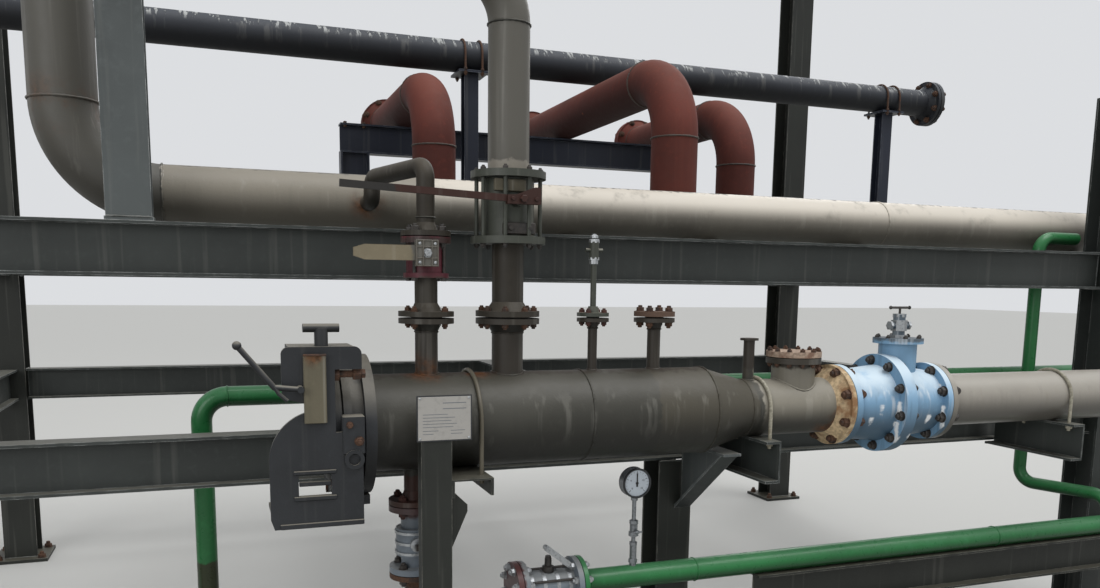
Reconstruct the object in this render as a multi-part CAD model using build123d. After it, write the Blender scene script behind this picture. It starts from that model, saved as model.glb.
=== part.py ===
from build123d import *
import os
from collections import namedtuple

# One bay of an industrial pipe bridge with the pipes, valves and fittings that it carries.
# Millimetres. x runs along the bridge, y across it from front to rear, z up from the ground.
# x = 0 is mid-bay and y = 0 is midway between the post rows until the last move to the origin.

Steel = namedtuple("Steel", "depth width web flange")
Line = namedtuple("Line", "pipe flange thick bend")

# Rolled sections: depth, flange width, web, flange
column = Steel(175, 175, 7.5, 11)
girder = Steel(180, 94, 6.5, 10.7)
portal_steel = Steel(160, 88, 6, 9.9)
small_post = Steel(100, 100, 6, 8)
middle_steel = Steel(150, 150, 7, 10)
channel = Steel(140, 58, 6, 9.5)
bracket_channel = Steel(160, 63, 6.5, 10)
post_channel = Steel(100, 48, 5.3, 8.5)
low_steel = Steel(160, 88, 6, 9.9)
stub_steel = Steel(94, 140, 6, 9)
tee_steel = Steel(80, 80, 6, 8)

# Pipe sizes: outside diameter, flange diameter, flange thickness, bend radius
dn300 = Line(323.9, 460, 30, 457)
dn200 = Line(219.1, 320, 26, 305)
dn150 = Line(168.3, 285, 24, 229)
dn125 = Line(139.7, 250, 24, 190)
dn100 = Line(108, 220, 22, 152)
dn80 = Line(88.9, 200, 20, 114)
dn65 = Line(76.1, 185, 20, 95)
dn50 = Line(60.3, 165, 20, 76)
dn40 = Line(48.3, 150, 18, 57)
dn25 = Line(33.7, 115, 16, 38)
dn15 = Line(21.3, 60, 10, 28)
hub_swell = 1.35

# Frame
bay_length = 5400
bay_width = 2800
overhang = 350
upper_top = 1890
lower_top = 1160
rear_post_top = 4000
front_post_top = 2650
base_side = 300
base_thick = 20
cap_thick = 12
small_base = 180
middle_base = 240
label_base = 150

front_y = -bay_width / 2
rear_y = bay_width / 2
left_x = -bay_length / 2
right_x = bay_length / 2
pipe_end_x = right_x + overhang

# Steel inside the bay, along x
portal_left_x = -770
loop_one_x = -470
tee_x = -160
loop_two_x = 516
portal_right_x = 1300
middle_post_x = 230
stub_column_x = left_x + 900
stub_column_top = 3000
portal_y = 600
tee_y = 350
loop_y = -100
loop_two_y = front_y + 570
loop_z = 2690
portal_top = loop_z - dn200.pipe / 2

# Header and what stands on it
header_y = front_y - 360
header_z = 1235
header_left = -1090
reducer_x = 163
reducer_length = 180
valve_x = 775
check_valve_length = 472
branch_a_x = -885
branch_b_x = -600
tapping_x = -280
nozzle_d_x = -35
vent_x = 375
nozzle_e_x = 580
drain_x = -935
raised = 3

# Header brackets
label_post_x = -905
label_reach = 205
label_post_y = header_y - label_reach
bracket_one_x = 265
bracket_two_x = 400
bracket_three_x = right_x - 745
header_clamp_x = -740
u_bolt_rod = 14
clamp_two_shift = 8
clamp_three_shift = -12
bolt_gap = 1

# Other pipes
inboard = 270
upper_pipe_y = front_y + inboard
upper_pipe_z = upper_top + dn200.pipe / 2
riser_x = left_x + 688
riser_top = 3050
rear_pipe_z = 2945
green_rear_y = front_y + inboard
green_rear_z = 1262
green_left_x = left_x + 1090
green_riser_x = right_x - 370
green_riser_y = front_y + 103
green_link_z = 722
link_front_x = right_x - 230
low_y = header_y + 60
low_beam_top = 540
low_beam_left = 480
low_pipe_z = low_beam_top + dn80.pipe / 2
low_pipe_left = -305
gauge_x = -67
gauge_z = 955

# Closure
yoke_reach = dn300.flange / 2 + 15
yoke_thick = 14
strap_thick = 16
lever_gap = 6
lever_rod = 17
knob = 26
front_face = header_y - yoke_reach - yoke_thick
lever_y = front_face - strap_thick - lever_gap - lever_rod / 2

front_edge_y = lever_y - knob / 2
rear_edge_y = rear_y + base_side / 2
origin_y = (front_edge_y + rear_edge_y) / 2

os.makedirs("parts", exist_ok=True)


def save(name, *solids):
    """Writes the solids of one node, moved so that the origin is under the middle of the bridge."""
    node = Part() + list(solids)
    export_step(Pos(0, -origin_y, 0) * node, f"parts/{name}.step")


def plate(x, y, z, length, width, height):
    """A box with its underside centred on x, y, z."""
    return Pos(x, y, z + height / 2) * Box(length, width, height)


def i_profile(steel):
    """An I or H section: depth along its local y, flanges across x."""
    slot = (steel.width - steel.web) / 2
    shape = Rectangle(steel.width, steel.depth)
    for side in (-1, 1):
        shape -= Pos(side * (steel.web + slot) / 2, 0) * Rectangle(slot, steel.depth - 2 * steel.flange)
    return shape


def c_profile(steel):
    """A channel: web on the left of its local x, open to the right."""
    inner = steel.width - steel.web
    cut = Pos(steel.web / 2, 0) * Rectangle(inner, steel.depth - 2 * steel.flange)
    return Rectangle(steel.width, steel.depth) - cut


def along_x(profile, start, end, y, z):
    plane = Plane(origin=(start, y, z), x_dir=(0, 1, 0), z_dir=(1, 0, 0))
    return extrude(plane * profile, end - start)


def along_y(profile, x, start, end, z):
    """The profile's local x points along -x of the bridge."""
    plane = Plane(origin=(x, start, z), x_dir=(-1, 0, 0), z_dir=(0, 1, 0))
    return extrude(plane * profile, end - start)


def upright(profile, x, y, start, end, turn=0):
    return extrude(Plane(origin=(x, y, start)) * (Rot(0, 0, turn) * profile), end - start)


def beam_x(steel, start, end, y, top):
    return along_x(i_profile(steel), start, end, y, top - steel.depth / 2)


def beam_y(steel, x, start, end, top):
    return along_y(i_profile(steel), x, start, end, top - steel.depth / 2)


def rod(start, end, diameter):
    """A round bar from one point to another."""
    run = Vector(*end) - Vector(*start)
    return extrude(Plane(origin=start, z_dir=run) * Circle(diameter / 2), run.length)


def cone(start, end, first, last):
    """A tapered round body from one diameter to the other."""
    run = Vector(*end) - Vector(*start)
    plane = Plane(origin=start, z_dir=run)
    return plane * (Pos(0, 0, run.length / 2) * Cone(first / 2, last / 2, run.length))


def bent_pipe(points, line, bend=None):
    """A pipe through the points, with long-radius elbows at the corners."""
    path = FilletPolyline(*points, radius=bend or line.bend)
    return sweep(Plane(origin=path @ 0, z_dir=path % 0) * Circle(line.pipe / 2), path=path)


def flange(face, outward, line):
    """A weld-neck flange: its face at the point, its hub behind it against the outward direction."""
    out = Vector(*outward).normalized()
    at = Vector(*face)
    front = at - out * raised
    back = at - out * line.thick
    end = back - out * line.thick * 1.4
    disc = rod(tuple(back), tuple(front), line.flange) + rod(tuple(front), tuple(at), line.pipe * 1.4)
    return disc + cone(tuple(end), tuple(back), line.pipe, line.pipe * hub_swell)


def blind(face, outward, line):
    """A blank cover with its raised face on the face of a flange."""
    out = Vector(*outward).normalized()
    inner = Vector(*face) + out * raised
    ring = rod(face, tuple(inner), line.pipe * 1.4)
    return ring + rod(tuple(inner), tuple(inner + out * line.thick), line.flange)


# Posts: an H section on a base plate, capped where it ends in the open
def post(steel, x, y, top, side, cap=True):
    shape = plate(x, y, 0, side, side, base_thick)
    end = top - cap_thick if cap else top
    shape += upright(i_profile(steel), x, y, base_thick, end)
    if cap:
        shape += plate(x, y, end, steel.width, steel.depth, cap_thick)
    return shape


half_column = column.depth / 2
for side, x in (("left", left_x), ("right", right_x)):
    save(f"front_post_{side}", post(column, x, front_y, front_post_top, base_side))
    save(f"rear_post_{side}", post(column, x, rear_y, rear_post_top, base_side, cap=False))

# Longitudinal girders, front and rear, upper and lower, each between its two posts
girder_start = left_x + column.width / 2
girder_end = right_x - column.width / 2
girder_levels = (("upper", upper_top), ("lower", lower_top))
for row, y in (("front", front_y), ("rear", rear_y)):
    for level, top in girder_levels:
        save(f"{row}_girder_{level}", beam_x(girder, girder_start, girder_end, y, top))
top_girder = rear_post_top + girder.depth
save("rear_girder_top", beam_x(girder, left_x - half_column, right_x + half_column, rear_y, top_girder))

# Cross beams between the two rows
cross_start = front_y + girder.width / 2
cross_end = rear_y - girder.width / 2
inner_cross = (portal_left_x, tee_x, loop_two_x, portal_right_x)
post_cross_start = front_y + half_column
post_cross_end = rear_y - half_column
upper_cross = [beam_y(girder, x, cross_start, cross_end, upper_top) for x in inner_cross]
upper_cross += [beam_y(girder, x, post_cross_start, post_cross_end, upper_top) for x in (left_x, right_x)]
trimmer_start = portal_left_x + girder.width / 2
trimmer_end = tee_x - girder.width / 2
save("upper_cross_beams", *upper_cross)
save("trimmer_beam", beam_x(girder, trimmer_start, trimmer_end, loop_y, upper_top))
lower_cross = [beam_y(girder, x, post_cross_start, post_cross_end, lower_top) for x in (left_x, right_x)]
lower_cross.append(beam_y(girder, middle_post_x, cross_start, cross_end, lower_top))
save("lower_cross_beams", *lower_cross)

# Posts inside the front row
middle_top = lower_top - girder.depth
save("middle_post", post(middle_steel, middle_post_x, front_y, middle_top, middle_base, cap=False))
stub_plate = 150
stub = plate(stub_column_x, front_y, upper_top, stub_plate, girder.width, cap_thick)
stub += upright(i_profile(stub_steel), stub_column_x, front_y, upper_top + cap_thick, stub_column_top)
save("stub_column", stub)

# Portal over the rear pipes
leg_low = upper_top
portal = [
    upright(i_profile(portal_steel), x, portal_y, leg_low, portal_top - portal_steel.depth, turn=90)
    for x in (portal_left_x, portal_right_x)
]
portal_half = portal_steel.depth / 2
portal_start = portal_left_x - portal_half
portal_beam = beam_x(portal_steel, portal_start, portal_right_x + portal_half, portal_y, portal_top)
save("portal_frame", portal[0] + portal[1] + portal_beam)

# Tee posts under the high rear pipe, each with a saddle plate
saddle_z = rear_pipe_z - dn150.pipe / 2
saddle_length = 170
saddle_thick = 12


def tee_post(x):
    shape = plate(x, tee_y, upper_top, 90, 140, saddle_thick)
    shape += upright(i_profile(tee_steel), x, tee_y, upper_top + saddle_thick, saddle_z - saddle_thick)
    return shape + plate(x, tee_y, saddle_z - saddle_thick, saddle_length, 190, saddle_thick)


save("tee_posts", *[tee_post(x) for x in (left_x, tee_x, right_x)])

# Knee bracket under the reducer
header_under = header_z - dn300.pipe / 2
arm_thick = 10
arm_width = 75
arm_end = header_y - 90
face_y = front_y - middle_steel.depth / 2
knee_drop = 270
knee_thick = 10
arm_low = header_under - arm_thick
arm = plate(bracket_one_x, (arm_end + face_y) / 2, arm_low, arm_width, face_y - arm_end, arm_thick)
knee_z = arm_low - knee_drop
gusset = Polyline(
    (arm_end + 30, arm_low),
    (face_y, arm_low),
    (face_y, knee_z),
    close=True,
)
gusset_face = make_face(gusset)
gusset_plane = Plane(origin=(bracket_one_x - knee_thick / 2, 0, 0), x_dir=(0, 1, 0), z_dir=(1, 0, 0))
web = extrude(gusset_plane * gusset_face, knee_thick)
knee_run = Polyline(
    (arm_end + 30, arm_low),
    (face_y, knee_z),
    (face_y, knee_z - 14),
    (arm_end + 20, arm_low),
    close=True,
)
knee_plane = Plane(origin=(bracket_one_x - arm_width / 2, 0, 0), x_dir=(0, 1, 0), z_dir=(1, 0, 0))
knee = extrude(knee_plane * make_face(knee_run), arm_width)
save("knee_bracket", arm + web + knee)

# Channel brackets under the smaller pipe, each with the two holes of its U-bolt
run_under = header_z - dn200.pipe / 2
bracket_front = header_y - 160
bracket_back = front_y - girder.width / 2


def u_bolt_legs(y, line):
    reach = line.pipe / 2 + u_bolt_rod / 2 + bolt_gap
    return (y - reach, y + reach)


def channel_bracket(x, clamp_x):
    z = run_under - bracket_channel.depth / 2
    shape = along_y(c_profile(bracket_channel), x, bracket_front, bracket_back, z)
    for y in u_bolt_legs(header_y, dn200):
        shape -= Pos(clamp_x, y, run_under) * Cylinder(u_bolt_rod / 2 + bolt_gap, 4 * bracket_channel.flange)
    return shape


clamp_two_x = bracket_two_x + clamp_two_shift
clamp_three_x = bracket_three_x + clamp_three_shift
save(
    "channel_brackets",
    channel_bracket(bracket_two_x, clamp_two_x),
    channel_bracket(bracket_three_x, clamp_three_x),
)

# Front support of the header: a channel post beside a flat arm back to the girder
flat_arm_x = label_post_x + (post_channel.depth + channel.depth) / 2
post_front_y = label_post_y - post_channel.width / 2
flat_arm_z = header_under - channel.width / 2
lying_channel = Rot(0, 0, -90) * c_profile(channel)
flat_arm = along_y(lying_channel, flat_arm_x, post_front_y, bracket_back, flat_arm_z)
for y in u_bolt_legs(header_y, dn300):
    flat_arm -= Pos(header_clamp_x, y, header_under) * Cylinder(u_bolt_rod / 2 + bolt_gap, 4 * channel.web)
label_post_top = 1335
label_post = plate(label_post_x, label_post_y, 0, small_base, label_base, base_thick)
post_profile = c_profile(post_channel)
label_post += upright(post_profile, label_post_x, label_post_y, base_thick, label_post_top, turn=90)
save("label_post", label_post)
save("flat_arm", flat_arm)
label_length = 178
label_height = 146
label_thick = 4
label_z = 1203
label_x = label_post_x + 25
label_y = post_front_y - label_thick / 2
save("label_plate", plate(label_x, label_y, label_z, label_length, label_thick, label_height))

# U-bolts with their nuts under the brackets
nut_side = 24
nut_height = 13


def u_bolt(x, y, z, line, seat_thick):
    reach = line.pipe / 2 + u_bolt_rod / 2 + bolt_gap
    start = Plane(origin=(x, y - reach, z), z_dir=(0, 0, 1)) * Circle(u_bolt_rod / 2)
    shape = revolve(start, axis=Axis((x, y, z), (-1, 0, 0)), revolution_arc=180)
    seat = z - line.pipe / 2 - seat_thick
    nut = RegularPolygon(nut_side / 2, 6, major_radius=False)
    for leg in (y - reach, y + reach):
        shape += rod((x, leg, seat - nut_height - 10), (x, leg, z), u_bolt_rod)
        shape += extrude(Plane(origin=(x, leg, seat - nut_height)) * nut, nut_height)
    return shape


save(
    "u_bolts",
    u_bolt(header_clamp_x, header_y, header_z, dn300, channel.web),
    u_bolt(clamp_two_x, header_y, header_z, dn200, bracket_channel.flange),
    u_bolt(clamp_three_x, header_y, header_z, dn200, bracket_channel.flange),
)

# Low beam at the front on two short posts
low_beam_end = right_x + 50
low_post_top = low_beam_top - low_steel.depth
low_posts = []
for x in (low_beam_left + 35, low_beam_end - 50):
    foot = plate(x, low_y, 0, small_base, small_base, base_thick)
    low_posts.append(foot + upright(i_profile(small_post), x, low_y, base_thick, low_post_top))
save("low_posts", *low_posts)
low_beam = beam_x(low_steel, low_beam_left, low_beam_end, low_y, low_beam_top)
save("low_beam", low_beam)
low_tie_start = low_y + low_steel.width / 2
save("low_tie", beam_y(low_steel, right_x, low_tie_start, front_y - half_column, low_beam_top))


# Header: shell, reducer, smaller run and the necks that stand on it
def stand(x, z):
    """A point over or under the header's axis."""
    return (x, header_y, z)


def axis_at(x):
    return stand(x, header_z)


def neck(x, line, top, up=1):
    face = stand(x, top)
    return rod(axis_at(x), face, line.pipe) + flange(face, (0, 0, up), line)


neck_face = 1585
nozzle_e_face = 1428
reducer_end = reducer_x + reducer_length
run_pipe = rod(axis_at(reducer_end), axis_at(valve_x), dn200.pipe)
header = rod(axis_at(header_left), axis_at(reducer_x), dn300.pipe)
header += cone(axis_at(reducer_x), axis_at(reducer_end), dn300.pipe, dn200.pipe)
header += run_pipe
header += neck(branch_a_x, dn65, neck_face)
header += neck(branch_b_x, dn100, neck_face)
header += neck(tapping_x, dn25, neck_face)
header += neck(nozzle_d_x, dn40, neck_face)
nozzle_e_pipe = 168.3
nozzle_e_disc = 212
nozzle_e_thick = 22
header += rod(axis_at(nozzle_e_x), stand(nozzle_e_x, nozzle_e_face), nozzle_e_pipe)
nozzle_e_top = stand(nozzle_e_x, nozzle_e_face)
header += rod(stand(nozzle_e_x, nozzle_e_face - nozzle_e_thick), nozzle_e_top, nozzle_e_disc)
drain_face = 950
header += neck(drain_x, dn50, drain_face, up=-1)
vent_top = 1496
vent_cap = 70
vent_pipe = 42.4
header += rod(axis_at(vent_x), stand(vent_x, vent_top), vent_pipe)
header += rod(stand(vent_x, vent_top), stand(vent_x, vent_top + 8), vent_cap)
save("header_pipe", header)
cover_low = nozzle_e_face + raised
cover_e = rod(stand(nozzle_e_x, nozzle_e_face), stand(nozzle_e_x, cover_low), nozzle_e_pipe)
cover_e += rod(stand(nozzle_e_x, cover_low), stand(nozzle_e_x, cover_low + nozzle_e_thick), nozzle_e_disc)
save("blind_covers", blind(stand(nozzle_d_x, neck_face), (0, 0, 1), dn40), cover_e)
save("run_flange", flange(axis_at(valve_x), (1, 0, 0), dn200) - run_pipe)

# Swing check valve between the run's flange and the pale pipe
valve_end = valve_x + check_valve_length
body_flange_od = 400
body_flange_x = valve_x + 228
body_flange_half = 26
check = rod(axis_at(valve_x), axis_at(valve_x + dn200.thick), dn200.flange)
check += cone(axis_at(valve_x + dn200.thick), axis_at(body_flange_x), dn200.pipe * 1.25, dn200.pipe * 1.45)
body_flange_left = body_flange_x - body_flange_half
check += rod(axis_at(body_flange_left), axis_at(body_flange_x + body_flange_half), body_flange_od)
check += cone(axis_at(body_flange_x), axis_at(valve_end - dn200.thick), dn200.pipe * 1.45, dn200.pipe * 1.2)
check += rod(axis_at(valve_end - dn200.thick), axis_at(valve_end), dn200.flange)
bonnet_x = body_flange_x + 82
bonnet_neck = 150
bonnet_od = 198
bonnet_z = 1478
check += rod(axis_at(bonnet_x), stand(bonnet_x, bonnet_z), bonnet_neck)
save("check_valve", check)
vent_valve_z = bonnet_z + 22
vent_arm = 45
vent_arm_z = vent_valve_z + 50
bonnet = rod(stand(bonnet_x, bonnet_z), stand(bonnet_x, vent_valve_z), bonnet_od)
bonnet += rod(stand(bonnet_x, vent_valve_z), stand(bonnet_x, vent_valve_z + 95), 48)
bonnet += rod(stand(bonnet_x - vent_arm, vent_arm_z), stand(bonnet_x + vent_arm, vent_arm_z), 26)
save("check_valve_bonnet", bonnet)

# Pale pipe to the right of the check valve
pale_start = valve_end
pale = flange(axis_at(pale_start), (-1, 0, 0), dn200)
pale += rod(axis_at(pale_start), axis_at(pipe_end_x), dn200.pipe)
pale += flange(axis_at(pipe_end_x), (1, 0, 0), dn200) + blind(axis_at(pipe_end_x), (1, 0, 0), dn200)
save("pale_pipe", pale)

# Quick-opening closure on the left end of the header
hub_thick = 35
hub_left = header_left - hub_thick
ring_right = hub_left - 40
ring_left = ring_right - 54
ring_middle = (ring_left + ring_right) / 2
ring_gap = 3
save("closure_hub", rod(axis_at(hub_left), axis_at(header_left), dn300.flange))
dish_depth = 60
dish_od = 200
dish_foot = 360
ring_od = 440
ring_core = 400
door = rod(axis_at(ring_left), axis_at(hub_left), ring_core)
door += rod(axis_at(ring_left), axis_at(ring_middle - ring_gap), ring_od)
door += rod(axis_at(ring_middle + ring_gap), axis_at(ring_right), ring_od)
door += cone(axis_at(ring_left - dish_depth), axis_at(ring_left), dish_od, dish_foot)
save("closure_door", door)

# Yoke: a cast plate with a window in front of the door, on a foot that reaches back under the hub
yoke_left = -1414
yoke_right = -1140
yoke_foot = 962
yoke_curve = 1160
yoke_shoulder = 1250
neck_left = -1310
neck_right = -1220
neck_low = 1312
head_left = -1373
head_low = 1356
head_top = 1508
head_round = 22
window_left = -1332
window_right = -1235
window_low = 1060
window_high = 1126
pin_x = -1322
pin_z = 1386
pin_diameter = 14
pin_hub = 20
pin_clearance = 0.05


outline = Polyline(
    (yoke_left, yoke_curve),
    (yoke_left, yoke_foot + 30),
    (yoke_left + 10, yoke_foot),
    (yoke_right, yoke_foot),
    (yoke_right, yoke_shoulder),
    (neck_right, yoke_shoulder),
    (neck_right, head_top - 68),
    (yoke_right, head_top - 68),
    (yoke_right, head_top),
    (head_left, head_top),
    (head_left, head_low),
    (neck_left, head_low - 15),
    (neck_left, neck_low),
)
half_way = (yoke_left + 28, yoke_curve + 96)
shoulder = ThreePointArc((neck_left, neck_low), half_way, (yoke_left, yoke_curve))
face = make_face(outline.edges() + shoulder.edges())
face = fillet([v for v in face.vertices() if v.Y > head_top - 1], head_round)
window_x = (window_left + window_right) / 2
window_z = (window_low + window_high) / 2
face -= Pos(window_x, window_z) * Rectangle(window_right - window_left, window_high - window_low)
face_plane = Plane(origin=(0, front_face + yoke_thick, 0), x_dir=(1, 0, 0), z_dir=(0, -1, 0))
yoke = extrude(face_plane * face, yoke_thick)

top_left = head_left + head_round
top_right = yoke_right - head_round
top_thick = 22
top_depth = 150
foot_left = yoke_left + 10
foot_thick = 12
saddle_low = yoke_foot + foot_thick
hub_under = header_z - dn300.flange / 2
saddle_left = yoke_right - 25
saddle_half = 60


def tie_plate(left, right, back, low, thick):
    """A level plate from the cast plate back to the given depth."""
    depth = back - front_face
    return plate((left + right) / 2, front_face + depth / 2, low, right - left, depth, thick)


yoke += tie_plate(top_left, top_right, front_face + top_depth, head_top - top_thick, top_thick)
yoke += tie_plate(foot_left, yoke_right, header_y + saddle_half, yoke_foot, foot_thick)
saddle_length = header_left - saddle_left
saddle_height = hub_under - saddle_low
saddle_x = saddle_left + saddle_length / 2
yoke += plate(saddle_x, header_y, saddle_low, saddle_length, 2 * saddle_half, saddle_height)

# Locking screw on the head, and the strap on its front
screw_x = -1254
screw_y = header_y - yoke_reach + 20
screw_z = 1562
screw_reach = 53
yoke += rod((screw_x, screw_y, head_top - 5), (screw_x, screw_y, screw_z), 40)
yoke += rod((screw_x - screw_reach, screw_y, screw_z), (screw_x + screw_reach, screw_y, screw_z), 26)
strap_left = -1310
strap_width = 62
strap_low = 1282
strap_high = 1483
strap_x = strap_left + strap_width / 2
strap_y = front_face - strap_thick / 2
yoke += plate(strap_x, strap_y, strap_low, strap_width, strap_thick, strap_high - strap_low)
bore = pin_diameter + 2 * pin_clearance
pin_bore = rod((pin_x, front_face - 1, pin_z), (pin_x, front_face + yoke_thick + 1, pin_z), bore)
save("closure_yoke", yoke - pin_bore)

# Lever of the closure: a bent bar with a knob, on a pin through the head beside the strap
elbow_point = (pin_x - 74, lever_y, pin_z + 8)
knob_point = (pin_x - 172, lever_y, pin_z + 130)
lever = rod((pin_x, lever_y, pin_z), elbow_point, lever_rod) + rod(elbow_point, knob_point, lever_rod)
lever += Pos(*elbow_point) * Sphere(lever_rod / 2)
knob_plane = Plane(origin=knob_point, z_dir=Vector(*knob_point) - Vector(*elbow_point))
lever += knob_plane * Sphere(knob / 2)
lever += rod((pin_x, lever_y - lever_rod / 2 - 1, pin_z), (pin_x, front_face - 1, pin_z), pin_hub)
lever += rod((pin_x, lever_y, pin_z), (pin_x, front_face + yoke_thick, pin_z), pin_diameter)
save("closure_lever", lever)


# Branch A: a ball valve with a flat lever, then a pipe over to the upper pipe
upper_face = neck_face
valve_a_low = 1715
valve_a_high = 1848
valve_a_body = 130
seat_ring = 150
seat_thick = 16
riser_a = flange(stand(branch_a_x, upper_face), (0, 0, -1), dn65)
riser_a += rod(stand(branch_a_x, upper_face), stand(branch_a_x, valve_a_low), dn65.pipe)
save("branch_a_riser", riser_a)
body_low = valve_a_low + seat_thick
body_high = valve_a_high - dn50.thick
valve_a = rod(stand(branch_a_x, valve_a_low), stand(branch_a_x, body_low), seat_ring)
valve_a += rod(stand(branch_a_x, body_low), stand(branch_a_x, body_high), valve_a_body)
valve_a += rod(stand(branch_a_x, body_high), stand(branch_a_x, valve_a_high), dn50.flange)
stem_a_x = branch_a_x - 20
stem_a_z = 1793
lever_a_y = header_y - dn50.flange / 2 - 20
boss_a_y = header_y - 82
stem_diameter = 16
boss_a_diameter = 60
boss_diameter = 40
valve_a += rod((stem_a_x, header_y, stem_a_z), (stem_a_x, boss_a_y, stem_a_z), boss_a_diameter)


def stem_bore(x, z, outer, depth, diameter):
    return rod((x, outer - 5, z), (x, outer + depth, z), diameter + 2 * pin_clearance)


bore_depth = 30
save("branch_a_valve", valve_a - stem_bore(stem_a_x, stem_a_z, boss_a_y, bore_depth, stem_diameter))


# Lever A: a flat bar with a narrowed end, in front of a cast knuckle on the stem
lever_a_half = 24
lever_a_end = stem_a_x - 233
lever_a_thick = 8
knuckle_width = 72
knuckle_height = 84
knuckle_thick = 30
bar_outline = Polyline(
    (stem_a_x, stem_a_z - lever_a_half),
    (stem_a_x, stem_a_z + lever_a_half),
    (lever_a_end + 35, stem_a_z + lever_a_half),
    (lever_a_end, stem_a_z + lever_a_half - 11),
    (lever_a_end, stem_a_z - lever_a_half + 11),
    (lever_a_end + 35, stem_a_z - lever_a_half),
    close=True,
)
bar_plane = Plane(origin=(0, lever_a_y, 0), x_dir=(1, 0, 0), z_dir=(0, -1, 0))
lever_a = extrude(bar_plane * make_face(bar_outline), lever_a_thick)
knuckle_low = stem_a_z - knuckle_height / 2
lever_a += plate(stem_a_x, lever_a_y, knuckle_low, knuckle_width, knuckle_thick, knuckle_height)
stem_a_end = boss_a_y + bore_depth - 2
lever_a += rod((stem_a_x, lever_a_y, stem_a_z), (stem_a_x, stem_a_end, stem_a_z), stem_diameter)
save("branch_a_lever", lever_a)

over_z = 2078
drop_y = upper_pipe_y - 200
drop_z = 1995
meet_x = -989
close_bend = 40
pipe_a = flange(stand(branch_a_x, valve_a_high), (0, 0, -1), dn50)
pipe_a += bent_pipe(
    [
        stand(branch_a_x, valve_a_high),
        stand(branch_a_x, over_z),
        (meet_x, drop_y, over_z),
        (meet_x, drop_y, drop_z),
        (meet_x, upper_pipe_y, drop_z),
    ],
    dn50,
    close_bend,
)
meet_reach = 200
meet_end = (meet_x + meet_reach, upper_pipe_y, upper_pipe_z)
pipe_a -= rod((meet_x - meet_reach, upper_pipe_y, upper_pipe_z), meet_end, dn200.pipe)
save("branch_a_pipe", pipe_a)

# Branch B: a ball valve in a cage of tie rods with a long bar lever, then a tall pipe
valve_b_low = 1832
valve_b_high = 2072
riser_b = flange(stand(branch_b_x, upper_face), (0, 0, -1), dn100)
riser_b += rod(stand(branch_b_x, upper_face), stand(branch_b_x, valve_b_low), dn100.pipe)
save("branch_b_riser", riser_b)
cage_od = 255
cage_thick = 24
tie_rods = 8
tie_radius = 108
tie_diameter = 14
body_b = 170
cage_height = valve_b_high - valve_b_low
low_b = stand(branch_b_x, valve_b_low)
high_b = stand(branch_b_x, valve_b_high)
valve_b = rod(low_b, stand(branch_b_x, valve_b_low + cage_thick), cage_od)
valve_b += rod(stand(branch_b_x, valve_b_high - cage_thick), high_b, cage_od)
valve_b += rod(low_b, high_b, body_b)
cage_middle = Pos(branch_b_x, header_y, valve_b_low + cage_height / 2)
for place in PolarLocations(tie_radius, tie_rods, start_angle=22.5):
    valve_b += cage_middle * place * Cylinder(tie_diameter / 2, cage_height)
stem_b_z = 1971
boss_b_y = header_y - cage_od / 2 - 6
lever_b_y = boss_b_y - 14
stem_b_diameter = 18
valve_b += rod((branch_b_x, header_y, stem_b_z), (branch_b_x, boss_b_y, stem_b_z), boss_diameter)
save("branch_b_valve", valve_b - stem_bore(branch_b_x, stem_b_z, boss_b_y, bore_depth, stem_b_diameter))
lever_b_reach = 582
lever_b_tail = 60
lever_b_tilt = 2.4
stem_b = (branch_b_x, lever_b_y, stem_b_z)
bar_middle = Pos(*stem_b) * Rot(0, lever_b_tilt, 0) * Pos((lever_b_tail - lever_b_reach) / 2, 0, 0)
lever_b = bar_middle * Box(lever_b_reach + lever_b_tail, 12, 22)
lever_b += rod((branch_b_x, lever_b_y - 12, stem_b_z), (branch_b_x, lever_b_y + 10, stem_b_z), 30)
lever_b += rod(stem_b, (branch_b_x, boss_b_y + bore_depth - 2, stem_b_z), stem_b_diameter)
save("branch_b_lever", lever_b)

gooseneck_z = 2735
gooseneck_end_x = branch_b_x - 560
gooseneck_face = stand(gooseneck_end_x, gooseneck_z)
pipe_b = bent_pipe([stand(branch_b_x, valve_b_high), stand(branch_b_x, gooseneck_z), gooseneck_face], dn125)
pipe_b += flange(gooseneck_face, (-1, 0, 0), dn125) + blind(gooseneck_face, (-1, 0, 0), dn125)
save("branch_b_pipe", pipe_b)

# Sample tapping: a small flange pair, a thin tube and a needle valve
needle_z = 1790
tapping = flange(stand(tapping_x, upper_face), (0, 0, -1), dn25)
tapping += rod(stand(tapping_x, upper_face), stand(tapping_x, needle_z), dn15.pipe)
tapping += rod(stand(tapping_x, needle_z), stand(tapping_x, needle_z + 60), 34)
tapping += rod((tapping_x - 32, header_y, needle_z + 30), (tapping_x + 32, header_y, needle_z + 30), 14)
tapping += rod(stand(tapping_x, needle_z + 60), stand(tapping_x, needle_z + 84), 16)
save("sample_tapping", tapping)

# Drain under the header: a valve between flanges and a pipe down to a foot flange
drain_upper = drain_face
drain_valve_low = 715
drain = rod(stand(drain_x, drain_upper), stand(drain_x, drain_upper - dn50.thick), dn50.flange)
drain += rod(stand(drain_x, drain_upper), stand(drain_x, drain_valve_low), 84)
drain += rod(stand(drain_x, drain_upper - 80), stand(drain_x, drain_valve_low + 60), 118)
drain += rod(stand(drain_x, drain_valve_low + dn50.thick), stand(drain_x, drain_valve_low), dn50.flange)
save("drain_valve", drain)
drain_pipe = flange(stand(drain_x, drain_valve_low), (0, 0, 1), dn50)
drain_pipe += rod(stand(drain_x, drain_valve_low), stand(drain_x, 0), dn50.pipe)
drain_pipe += rod(stand(drain_x, 0), stand(drain_x, dn50.thick), dn50.flange)
save("drain_pipe", drain_pipe)

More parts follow.
